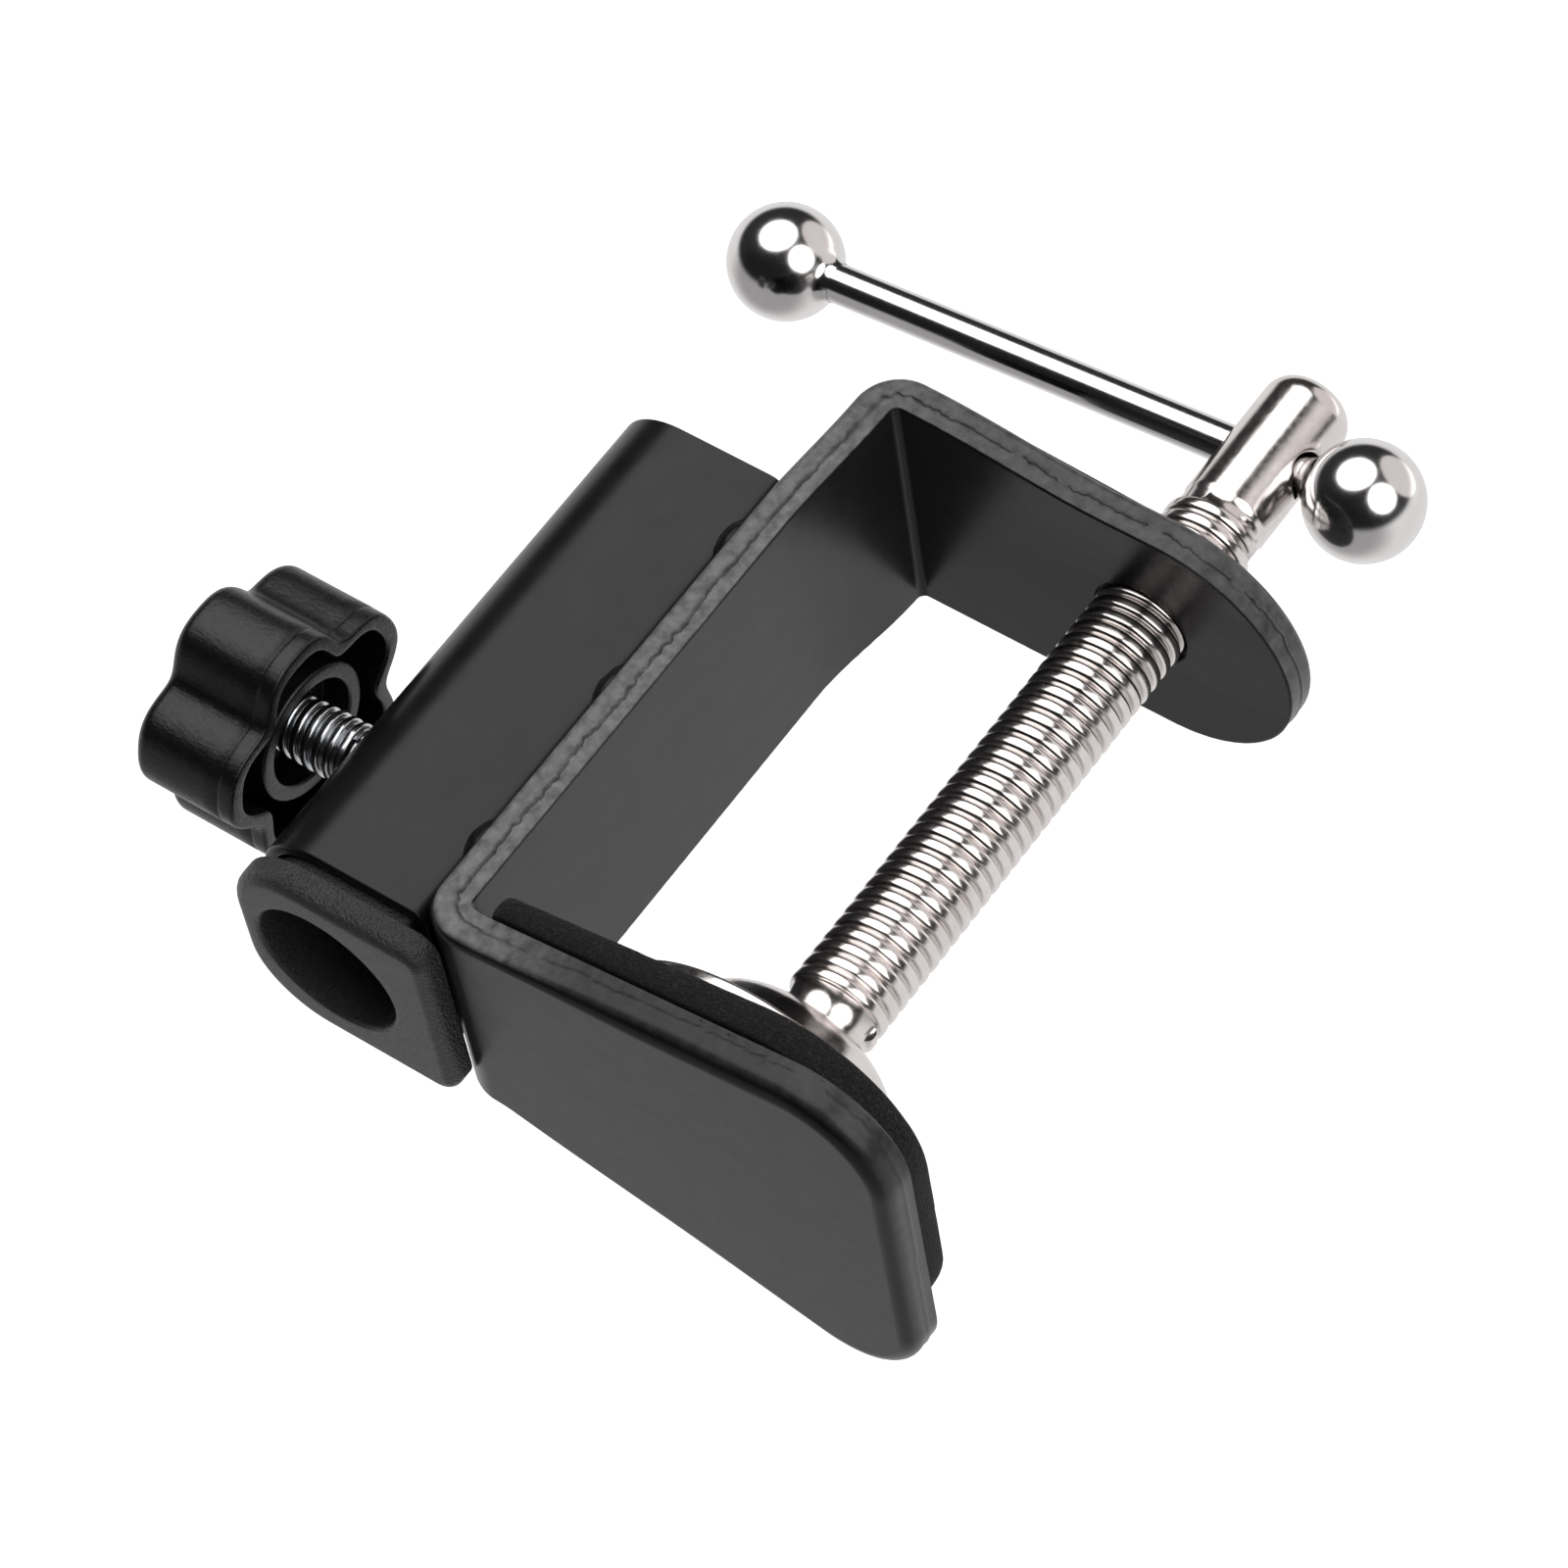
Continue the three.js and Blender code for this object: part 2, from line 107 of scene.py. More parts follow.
SCREW_RADIUS = 4.725
SCREW_PITCH = 1.5875
SCREW_DEPTH = 0.5
THREAD_TOP = -9.5
THREAD_BOTTOM = -73.1
NECK_RADIUS = 4.0
HEAD_RADIUS = 4.4
SPIGOT_RADIUS = 2.6
RIVET_RADIUS = 4.0
RIVET_HEIGHT = 1.5
FOOT_SHEET = 1.2
FOOT_WALL = 1.5  # height of the upright edge round the foot's flat rim

HANDLE_HEIGHT = -80.8
HANDLE_ANGLE = 0.11
BAR_RADIUS = 1.95
BALL_RADIUS = 5.75
BALL_NEAR = 10.5  # from the screw's axis to the ball's centre
BALL_FAR = 55.6
BALL_SOCKET_DEPTH = 4.5
BALL_COLLAR_RADIUS = 2.75

LOCK_HEIGHT = -10.9
BOLT_RADIUS = 3.16
BOLT_PITCH = 1.27
BOLT_DEPTH = 0.62
BOLT_CLEARANCE = 0.3
OUTSIDE_X = -60.0  # clear of the tube, where its bolt hole is cut from

KNOB_RADIUS = 11.6  # mean, without the lobes
KNOB_LOBE = 1.3
KNOB_VALLEY = 0.3  # narrows the valleys and broadens the lobes
KNOB_LOBES = 5
KNOB_WALL = 1.8
KNOB_FLOOR = 4.0  # thickness behind the hollow
KNOB_CAP_EDGE = 1.4
KNOB_SEAM = 1.8  # from the rim to the mould line
BOSS_RADIUS = 7.05
BOSS_SET_BACK = 0.8
BOSS_RECESS_RADIUS = 5.4
BOSS_RECESS_DEPTH = 3.2

# ------------ drawing helpers


def rounded(points, steps=8, closed=False):
    """A polyline through [x, y, radius] corners, with an arc at each corner that has a radius."""
    found = []
    count = len(points)
    for i, (x, y, radius) in enumerate(points):
        here = np.array([x, y], float)
        inner = closed or 0 < i < count - 1
        if radius <= 0 or not inner:
            found.append(here)
            continue
        before = np.array(points[i - 1][:2], float) - here
        after = np.array(points[(i + 1) % count][:2], float) - here
        before /= np.linalg.norm(before)
        after /= np.linalg.norm(after)
        half = math.acos(max(-1, min(1, float(before @ after)))) / 2
        middle = before + after
        centre = here + middle / np.linalg.norm(middle) * radius / math.sin(half)
        start = here + before * radius / math.tan(half) - centre
        end = here + after * radius / math.tan(half) - centre
        a = math.atan2(start[1], start[0])
        turn = (math.atan2(end[1], end[0]) - a + math.pi) % TURN - math.pi
        for k in range(steps + 1):
            angle = a + turn * k / steps
            found.append(centre + radius * np.array([math.cos(angle), math.sin(angle)]))
    return np.array(found)


def resampled(path, spacing, closed=False):
    """The same line with evenly spaced points."""
    if closed:
        path = np.vstack([path, path[:1]])
    lengths = np.concatenate([[0], np.cumsum(np.linalg.norm(np.diff(path, axis=0), axis=1))])
    count = max(4, round(lengths[-1] / spacing))
    at = np.linspace(0, lengths[-1], count + 1)
    found = np.column_stack([np.interp(at, lengths, path[:, k]) for k in range(path.shape[1])])
    return found[:-1] if closed else found


def outward(loop):
    """Unit normals of a closed anticlockwise loop in the plane."""
    along = np.roll(loop, -1, axis=0) - np.roll(loop, 1, axis=0)
    along /= np.linalg.norm(along, axis=1)[:, None]
    return np.column_stack([along[:, 1], -along[:, 0]])


def smooth(x):
    """An even rise from 0 at 0 to 1 at 1, flat at both ends."""
    x = min(1.0, max(0.0, x))
    return x * x * (3 - 2 * x)


def wobble(x, y=0.0, z=0.0):
    """Smooth noise from about -1 to 1 that is the same in each run."""
    return noise.noise(Vector((x, y, z)))


class Surface:
    """Points and faces of one piece, in millimetres."""

    def __init__(self):
        self.points = []
        self.faces = []

    def loop(self, points):
        """Adds points and returns their numbers."""
        first = len(self.points)
        self.points.extend(tuple(map(float, p)) for p in points)
        return list(range(first, len(self.points)))

    def join(self, a, b):
        """Faces between two closed loops; a loop of one point is a pole."""
        count = max(len(a), len(b))
        for i in range(count):
            k = (i + 1) % count
            if len(a) == 1:
                self.faces.append((a[0], b[k], b[i]))
            elif len(b) == 1:
                self.faces.append((a[i], a[k], b[0]))
            else:
                self.faces.append((a[i], a[k], b[k], b[i]))

    def chain(self, loops, closed=False):
        """Faces from each loop to the next, and from the last to the first if closed."""
        for a, b in zip(loops, loops[1:]):
            self.join(a, b)
        if closed:
            self.join(loops[-1], loops[0])

    def mesh(self, name):
        mesh = bpy.data.meshes.new(name)
        mesh.from_pydata([tuple(c * MM for c in p) for p in self.points], [], self.faces)
        return mesh


def circle(radius, height, segments):
    """Points of a circle about Z, or one point where the radius is nothing."""
    if radius < 1e-6:
        return [(0, 0, height)]
    return [
        (radius * math.cos(TURN * i / segments), radius * math.sin(TURN * i / segments), height)
        for i in range(segments)
    ]


def lathe(surface, profile, segments):
    """Loops of a turned shape about Z from [radius, height] points."""
    loops = [surface.loop(circle(radius, height, segments)) for radius, height in profile]
    surface.chain(loops)
    return loops


def placed(name, data):
    """A new object in the scene that shows a mesh, a camera or a light."""
    thing = bpy.data.objects.new(name, data)
    bpy.context.scene.collection.objects.link(thing)
    return thing


def add_piece(name, mesh, body, material, nodes):
    """A visible piece that moves with a body and stands for CAD nodes."""
    piece = placed(name, mesh)
    mesh.materials.append(material)
    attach(piece, body)
    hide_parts(*nodes)
    return piece


def make_piece(name, surface, body, material, nodes, place=None, sharp=50):
    """A piece from a surface; edges over the sharp angle, in degrees, are not smoothed."""
    mesh = surface.mesh(name)
    if place is not None:
        mesh.transform(place)
    finish_mesh(mesh, sharp)
    return add_piece(name, mesh, body, material, nodes)


def finish_mesh(mesh, sharp):
    """Faces all turned outwards, with smooth shading up to the sharp angle."""
    bm = bmesh.new()
    bm.from_mesh(mesh)
    bmesh.ops.recalc_face_normals(bm, faces=bm.faces)
    bm.to_mesh(mesh)
    bm.free()
    shade_smooth(mesh, sharp)


def shade_smooth(mesh, sharp):
    for face in mesh.polygons:
        face.use_smooth = True
    mesh.set_sharp_from_angle(angle=math.radians(sharp))


def even_shading(piece):
    """Normals that keep flat faces flat beside narrow rounded edges."""
    modifier = piece.modifiers.new("even_shading", "WEIGHTED_NORMAL")
    modifier.keep_sharp = True
    modifier.weight = 50


def cut(piece, cutter):
    """Takes a closed surface, in millimetres, out of a piece."""
    mesh = cutter.mesh("cutter")
    finish_mesh(mesh, 30)
    tool = placed("cutter", mesh)
    modifier = piece.modifiers.new("cut", "BOOLEAN")
    modifier.operation = "DIFFERENCE"
    modifier.solver = "EXACT"
    modifier.object = tool
    bpy.context.view_layer.update()
    graph = bpy.context.evaluated_depsgraph_get()
    result = bpy.data.meshes.new_from_object(piece.evaluated_get(graph))
    piece.modifiers.remove(modifier)
    piece.data = result
    bpy.data.objects.remove(tool)
    result.set_sharp_from_angle(angle=math.radians(40))


def bolt_hole():
    """A plain rod for cutting the lock bolt's way through the tube and into the bore."""
    radius = BOLT_RADIUS + BOLT_CLEARANCE
    surface = Surface()
    lathe(surface, [(0, OUTSIDE_X), (radius, OUTSIDE_X), (radius, BORE_X), (0, BORE_X)], 64)
    surface.points = [(z, x, y + LOCK_HEIGHT) for x, y, z in surface.points]
    return surface


# ------------ materials


class Nodes:
    """A Principled material and short ways to add to it. Texture space is in millimetres."""

    def __init__(self, name, **sockets):
        self.material = bpy.data.materials.new(name)
        self.material.use_nodes = True
        self.tree = self.material.node_tree
        self.shader = self.tree.nodes["Principled BSDF"]
        for socket, value in sockets.items():
            self.shader.inputs[socket.replace("_", " ")].default_value = value
        place = self.add("ShaderNodeTexCoord")
        scale = self.add("ShaderNodeVectorMath", operation="SCALE")
        scale.inputs["Scale"].default_value = 1 / MM
        self.link(place.outputs["Object"], scale.inputs[0])
        self.space = scale.outputs[0]
        self.bumps = None

    def add(self, kind, **values):
        node = self.tree.nodes.new(kind)
        for name, value in values.items():
            setattr(node, name, value)
        return node

    def link(self, a, b):
        self.tree.links.new(a, b)

    def noise(self, scale, detail=2.0, roughness=0.5, stretch=None):
        node = self.add("ShaderNodeTexNoise")
        node.inputs["Scale"].default_value = scale
        node.inputs["Detail"].default_value = detail
        node.inputs["Roughness"].default_value = roughness
        source = self.space
        if stretch:
            mapping = self.add("ShaderNodeMapping")
            mapping.inputs["Scale"].default_value = stretch
            self.link(self.space, mapping.inputs["Vector"])
            source = mapping.outputs[0]
        self.link(source, node.inputs["Vector"])
        return node.outputs["Fac"]

    def voronoi(self, scale):
        node = self.add("ShaderNodeTexVoronoi", feature="F1")
        node.inputs["Scale"].default_value = scale
        self.link(self.space, node.inputs["Vector"])
        return node.outputs["Distance"]

    def ramp(self, source, low, high, out_low, out_high):
        """A value between low and high, moved in proportion to between out_low and out_high."""
        node = self.add("ShaderNodeMapRange")
        node.inputs["From Min"].default_value = low
        node.inputs["From Max"].default_value = high
        node.inputs["To Min"].default_value = out_low
        node.inputs["To Max"].default_value = out_high
        self.link(source, node.inputs["Value"])
        return node.outputs["Result"]

    def math(self, operation, a, b):
        node = self.add("ShaderNodeMath", operation=operation)
        for socket, value in zip(node.inputs, (a, b)):
            if isinstance(value, (int, float)):
                socket.default_value = value
            else:
                self.link(value, socket)
        return node.outputs[0]

    def mix(self, factor, low, high):
        node = self.add("ShaderNodeMix", data_type="RGBA")
        self.link(factor, node.inputs["Factor"])
        for socket, colour in ((node.inputs["A"], low), (node.inputs["B"], high)):
            if isinstance(colour, tuple):
                socket.default_value = (*colour, 1)
            else:
                self.link(colour, socket)
        return node.outputs["Result"]

    def colour(self, source):
        self.link(source, self.shader.inputs["Base Color"])

    def roughness(self, source):
        self.link(source, self.shader.inputs["Roughness"])

    def bump(self, height, depth):
        """Adds relief of that depth in millimetres for a height from 0 to 1."""
        node = self.add("ShaderNodeBump")
        node.inputs["Distance"].default_value = depth * MM
        node.inputs["Strength"].default_value = 1.0
        self.link(height, node.inputs["Height"])
        if self.bumps is not None:
            self.link(self.bumps, node.inputs["Normal"])
        self.bumps = node.outputs["Normal"]
        self.link(self.bumps, self.shader.inputs["Normal"])


def paint_material():
    """Semi-gloss black paint with a slight orange peel, greyer on the sheared edges: partly thinner paint,
    partly a painted highlight for the light the cut edges catch.
    """
    m = Nodes("black_paint", Roughness=0.28, IOR=1.38)
    cut_edge_and_highlight = m.add("ShaderNodeAttribute", attribute_name="cut_edge_and_highlight").outputs["Fac"]
    patches = m.noise(0.18, 3)
    painted = m.mix(m.ramp(patches, 0.35, 0.65, 0, 1), (0.004, 0.004, 0.0042), (0.006, 0.006, 0.0063))
    # Sheared edges: a grey that is partly thin paint and partly a painted highlight, mottled by noise.
    edge_mottle = m.noise(0.8, 4, 0.6)
    sheared_and_highlit = m.mix(m.ramp(edge_mottle, 0.35, 0.7, 0, 1), (0.05, 0.05, 0.051), (0.13, 0.13, 0.132))
    m.colour(m.mix(cut_edge_and_highlight, painted, sheared_and_highlit))
    rough = m.ramp(m.noise(0.4, 2), 0.3, 0.7, 0.26, 0.3)
    m.roughness(m.math("ADD", rough, m.math("MULTIPLY", cut_edge_and_highlight, 0.12)))
    m.bump(m.noise(0.3, 1), 0.008)
    m.bump(m.math("MULTIPLY", m.noise(0.8, 2, 0.5), cut_edge_and_highlight), 0.08)
    return m.material


def foam_material():
    """Matt closed-cell foam: fine open pores on the cut skin."""
    m = Nodes("black_foam", Roughness=0.95, IOR=1.35, Sheen_Weight=0.03, Sheen_Roughness=0.5)
    speck = m.ramp(m.noise(3.2, 4, 0.7), 0.52, 0.74, 0, 1)
    m.colour(m.mix(speck, (0.003, 0.003, 0.003), (0.02, 0.0195, 0.019)))
    m.bump(m.voronoi(3.4), 0.10)
    m.bump(m.noise(1.1, 3), 0.06)
    return m.material


def knob_material():
    """Moulded plastic, satin, with a fine drawn texture along the grip."""
    m = Nodes("knob_plastic", Roughness=0.3, IOR=1.48)
    m.colour(m.mix(m.noise(0.5, 3), (0.0025, 0.0025, 0.0026), (0.005, 0.005, 0.0052)))
    m.roughness(m.ramp(m.noise(1.6, 4), 0.3, 0.7, 0.26, 0.36))
    m.bump(m.noise(3.2, 4, 0.65, stretch=(0.45, 1, 1)), 0.05)
    m.bump(m.noise(0.8, 2), 0.03)
    return m.material


def bush_material():
    """Moulded plastic with a spark-eroded grain, coarser on the side wall than on the face."""
    m = Nodes("bush_plastic", Roughness=0.55, IOR=1.48)
    m.colour(m.mix(m.noise(1.2, 3), (0.014, 0.014, 0.0145), (0.03, 0.03, 0.0305)))
    facing = m.add("ShaderNodeSeparateXYZ")
    m.link(m.add("ShaderNodeNewGeometry").outputs["Normal"], facing.inputs[0])
    side = m.ramp(m.math("ABSOLUTE", facing.outputs["Z"], 0), 0.4, 0.95, 1.0, 0.28)
    m.roughness(m.ramp(m.noise(2.5, 3), 0.3, 0.7, 0.3, 0.4))
    m.bump(m.math("MULTIPLY", m.noise(4.0, 2, 0.6), side), 0.3)
    m.bump(m.noise(7.0, 2), 0.012)
    return m.material


def metal_material(name, low, high, rough, dents, spots=None):
    """Plated metal: slight colour change, uneven gloss and small dents."""
    m = Nodes(name, Metallic=1.0, Roughness=rough[0])
    colour = m.mix(m.ramp(m.noise(0.35, 3), 0.35, 0.65, 0, 1), low, high)
    if spots:
        colour = m.mix(m.ramp(m.noise(1.3, 4, 0.6), 0.6, 0.8, 0, 0.4), colour, spots)
    m.colour(colour)
    m.roughness(m.ramp(m.noise(1.7, 4), 0.3, 0.7, rough[0], rough[1]))
    m.bump(m.noise(0.7, 3), dents)
    return m.material


black_paint = paint_material()
black_foam = foam_material()
knob_plastic = knob_material()
bush_plastic = bush_material()
nickel = metal_material(
    "nickel_plate", (0.76, 0.71, 0.69), (0.82, 0.78, 0.765), (0.14, 0.22), 0.012, spots=(0.6, 0.52, 0.48)
)
chrome = metal_material("polished_chrome", (0.80, 0.775, 0.77), (0.84, 0.815, 0.81), (0.13, 0.17), 0.003)
zinc = metal_material("zinc_plate", (0.62, 0.63, 0.65), (0.7, 0.71, 0.73), (0.14, 0.22), 0.006)

# ------------ bracket

bend_x = bracket_low[0] + PLATE + BEND_INNER
upper_bend_z = bracket_high[2] - PLATE - BEND_INNER
lower_bend_z = bracket_low[2] + PLATE + BEND_INNER
bend_radius = BEND_INNER + PLATE / 2
bend_length = bend_radius * math.pi / 2
spine_length = upper_bend_z - lower_bend_z


def bent(along, across, height):
    """A point of the flat blank, bent into the bracket. Height is above the plate's middle, outside up."""
    x, y, z = squarely_bent(along, across, height)
    if along > spine_length - TILT_BLEND:
        lift = JAW_TILT * max(x, bend_x)
        if x <= bend_x:
            lift *= smooth((along - spine_length + TILT_BLEND) / (bend_length + TILT_BLEND))
        z += lift
    skew = across / ROUND_END_RADIUS
    if along > -bend_length:
        share = 1 - smooth((along + 1) / LEAN_SPINE_LENGTH)
    else:
        share = 1 - smooth((x - bend_x) / LEAN_JAW_LENGTH)
    return x + share * (LEAN_X - LEAN_X_SKEW * skew), y, z - share * LEAN_Z * (1 + skew)


def squarely_bent(along, across, height):
    """The same with true right angles: no tilt of the jaw and no lean of the spine."""
    radius = bend_radius + height
    if along > spine_length + bend_length:
        return bend_x + along - spine_length - bend_length, across, upper_bend_z + radius
    if along > spine_length:
        angle = (along - spine_length) / bend_radius
        return bend_x - radius * math.cos(angle), across, upper_bend_z + radius * math.sin(angle)
    if along > 0:
        return bend_x - radius, across, lower_bend_z + along
    if along > -bend_length:
        angle = -along / bend_radius
        return bend_x - radius * math.cos(angle), across, lower_bend_z - radius * math.sin(angle)
    return bend_x - along - bend_length, across, lower_bend_z - radius


def blank_along(x, jaw):
    """Where an X on one of the jaws lies along the flat blank."""
    if jaw == "padded":
        return x - bend_x + spine_length + bend_length
    return bend_x - x - bend_length


def jaw_half_outline(x_from, grow=0.0, to_along=float, tip=JAW_TIP_X, corner=JAW_CORNER):
    """Half outline of the padded jaw, from a point beside the spine to the middle of its square end."""
    slope = (JAW_TIP_WIDTH / 2 - ROUND_END_RADIUS) / (JAW_TIP_X - FLARE_START_X)
    tip_half = ROUND_END_RADIUS + grow + (tip - FLARE_START_X) * slope
    return [
        [to_along(x_from), ROUND_END_RADIUS + grow, 0],
        [to_along(FLARE_START_X), ROUND_END_RADIUS + grow, 6],
        [to_along(tip), tip_half, corner],
        [to_along(tip), 0, 0],
    ]


def shear_line(along, side):
    """Height of the ragged line where the cut turns from sheared to torn."""
    return -0.3 + 0.3 * wobble(along * 0.2, side * 7) + 0.35 * wobble(along * 1.3, side * 3)


def roughly_cut(along):
    """How rough the cut edge is, which also sets how strongly its painted highlight greys it: most on the
    spine, little on the padded jaw and some on the other.
    """
    padded = 1 - 0.85 * smooth((along - spine_length - bend_length) / 14)
    threaded = 1 - 0.55 * smooth((12 - along) / 30)
    return padded * threaded


def edge_levels(along, side):
    """Cut edge across the plate: [inset, height] from the rounded outer face to the sharp inner one."""
    half = PLATE / 2
    soft = 1.0 + 0.7 * smooth((along - spine_length - bend_length - 4) / 20)
    levels = []
    for k in range(7):
        angle = math.pi / 2 * k / 6
        levels.append([soft * (1 - math.sin(angle)), half - 0.95 * soft * (1 - math.cos(angle))])
    rough = roughly_cut(along)
    line = shear_line(along, side) - 0.75 * (soft - 1)
    torn = rough * (0.1 + 0.06 * wobble(along * 1.3, side * 11))
    rim = 0.05 * wobble(along * 0.7, side * 5, 2)
    levels += [
        [0.02 + rim * 0.4, line + 0.62],
        [0.0, line + 0.3],
        [-0.04 + rim, line + 0.1],
        [0.24 * rough**2 + torn * 0.5, line - 0.06],
        [torn, line - 0.26],
        [torn + 0.05 * wobble(along * 2.1, side, 4), line - 0.6],
        [torn + 0.05 * wobble(along * 1.7, side, 9), -half + 0.42],
        [torn - 0.02, -half + 0.14],
        [torn + 0.1, -half + 0.03],
        [torn + 0.26, -half],
    ]
    return levels


def slab(loop, levels_at, split_along, split_across):
    """A flat plate with a shaped edge as a mesh: closed, cut across so that it can be bent."""
    normals = outward(loop)
    edges = [levels_at(x, 1 if y > 0 else -1) for x, y in loop]
    bm = bmesh.new()
    cut_edge_and_highlight = bm.verts.layers.float.new("cut_edge_and_highlight")
    rings = []
    for k in range(len(edges[0])):
        ring = []
        for (x, y), (nx, ny), levels in zip(loop, normals, edges):
            inset, height = levels[k]
            vert = bm.verts.new((x - nx * inset, y - ny * inset, height))
            # Mask of the cut edge: its roughness, and how strongly the painted highlight greys it.
            vert[cut_edge_and_highlight] = roughly_cut(x) if 3 < k < len(levels) - 2 else 0.0
            ring.append(vert)
        rings.append(ring)
    for a, b in zip(rings, rings[1:]):
        for i in range(len(a)):
            j = (i + 1) % len(a)
            bm.faces.new((a[i], a[j], b[j], b[i]))
    bm.faces.new(rings[0])
    bm.faces.new(list(reversed(rings[-1])))
    for x in split_along:
        split(bm, (x, 0, 0), (1, 0, 0))
    for y in split_across:
        split(bm, (0, y, 0), (0, 1, 0))
    return bm


def split(bm, at, normal):
    """New edges where a plane crosses the mesh."""
    everything = [*bm.verts, *bm.edges, *bm.faces]
    bmesh.ops.bisect_plane(bm, geom=everything, dist=1e-5, plane_co=at, plane_no=normal)


def whole_outline(half):
    """A closed loop from half of it, which runs at positive Y from one end's middle to the other's."""
    mirrored = half[1:-1][::-1] * np.array([1, -1])
    loop = np.vstack([half, mirrored])
    area = np.sum(loop[:, 0] * np.roll(loop[:, 1], -1) - np.roll(loop[:, 0], -1) * loop[:, 1])
    return loop if area > 0 else loop[::-1]


def slab_piece(name, bm, shape, material, nodes):
    """A piece of the fixed frame from a flat slab, with each point moved by shape."""
    for vert in bm.verts:
        vert.co = Vector(shape(*vert.co)) * MM
    bmesh.ops.recalc_face_normals(bm, faces=bm.faces)
    mesh = bpy.data.meshes.new(name)
    bm.to_mesh(mesh)
    bm.free()
    shade_smooth(mesh, 60)
    return add_piece(name, mesh, "frame", material, nodes)


def make_bracket():
    """The blank is cut out flat, bent, and then bored for the clamp screw."""
    round_tip = blank_along(ROUND_END_RADIUS + 2.6, "threaded")
    half = rounded(
        [
            [round_tip, 0, 0],
            [round_tip, ROUND_END_RADIUS, ROUND_END_RADIUS - 0.01],
            *jaw_half_outline(-40, 0, lambda x: blank_along(x, "padded"))[1:],
        ],
        steps=24,
    )
    loop = whole_outline(resampled(half, 0.35))
    bend_cuts = np.linspace(0, bend_length, 11)
    splits = [*(-bend_cuts), *(spine_length + bend_cuts), *np.linspace(2, spine_length - 2, 15)]
    bm = slab(loop, edge_levels, splits, [-9, -4.5, 0, 4.5, 9])
    piece = slab_piece("painted_bracket", bm, bent, black_paint, ["bracket"])
    low, high = bracket_low[2], bracket_low[2] + PLATE
    cutter = Surface()
    lathe(
        cutter,
        [
            (0, low - 1),
            (HOLE_RADIUS + HOLE_CHAMFER, low - 1),
            (HOLE_RADIUS, low + 0.3),
            (HOLE_RADIUS, high - 0.3),
            (HOLE_RADIUS + HOLE_CHAMFER, high + 1),
            (0, high + 1),
        ],
        96,
    )
    cut(piece, cutter)
    even_shading(piece)


make_bracket()

# ------------ foam pad


pad_thickness = pad_high[2] - pad_low[2]


def pad_levels(along, side):
    """Rounded edge of the foam, slightly uneven along its length."""
    bulge = 0.05 * wobble(along * 0.5, side * 4) + 0.03 * wobble(along * 1.9, side * 4)
    levels = []
    for k in range(9):
        angle = math.pi * k / 8
        inset = 0.32 * (1 - math.sin(angle)) + 0.1 + bulge
        levels.append([inset, pad_thickness / 2 * math.cos(angle)])
    return levels


def make_pad():
    middle = (pad_high[2] + pad_low[2]) / 2
    start = pad_low[0] + 0.6
    half = rounded(
        [
            [start, 0, 0],
            [start, ROUND_END_RADIUS + PAD_OVERHANG, 2.0],
            *jaw_half_outline(start, PAD_OVERHANG, tip=PAD_TIP_X, corner=PAD_CORNER)[2:],
        ],
        steps=16,
    )
    loop = whole_outline(resampled(half, 0.5))
    bm = slab(loop, pad_levels, np.arange(start + 1.5, PAD_TIP_X, 1.5), np.arange(-18, 18.1, 1.5))

    def settled(x, y, z):
        """The upper face follows the tilted jaw; the lower one stays level, with a faint ripple."""
        share = smooth(z / pad_thickness + 0.5)
        face = 0.04 * wobble(x * 0.4, y * 0.4) * (1 - share)
        return x, y, max(pad_low[2], middle + z + face) + JAW_TILT * x * share

    piece = slab_piece("foam_cushion", bm, settled, black_foam, ["foam_pad"])
    even_shading(piece)


make_pad()

# ------------ socket tube


def d_outline(back, front, half, small, large, spacing=0.5):
    """Anticlockwise outline with small corners at the back, towards +X, and large ones at the front."""
    path = rounded(
        [[back, -half, small], [back, half, small], [front, half, large], [front, -half, large]],
        steps=12,
        closed=True,
    )
    return resampled(path, spacing, closed=True)


def wall_loops(surface, outline, levels):
    """Loops of an outline moved out by a distance, at a height, for each [distance, height]."""
    normals = outward(outline)
    return [
        surface.loop([(x + nx * out, y + ny * out, z) for (x, y), (nx, ny) in zip(outline, normals)])
        for out, z in levels
    ]


def make_tube():
    """Outline and wall section of the open tube, with a hole for the lock bolt."""
    surface = Surface()
    outline = d_outline(tube_high[0], tube_low[0], tube_high[1], TUBE_SMALL_CORNER, TUBE_LARGE_CORNER)
    middle = (tube_low[2] + tube_high[2]) / 2
    profile = rounded(
        [
            [0, middle, 0],
            [0, tube_high[2], TUBE_EDGE],
            [-TUBE_WALL, tube_high[2], TUBE_EDGE],
            [-TUBE_WALL, tube_low[2], TUBE_EDGE],
            [0, tube_low[2], TUBE_EDGE],
        ],
        steps=5,
    )
    profile = np.vstack([profile, [[0, middle - 20]]])
    steps = []
    for a, b in zip(profile, profile[1:]):
        count = max(1, round(abs(b[1] - a[1]) / 4))
        steps += [a + (b - a) * k / count for k in range(count)]
    loops = wall_loops(surface, outline, steps)
    surface.chain(loops, closed=True)
    piece = make_piece("painted_tube", surface, "frame", black_paint, ["socket_tube"])
    cut(piece, bolt_hole())
    even_shading(piece)


make_tube()

# ------------ socket bush


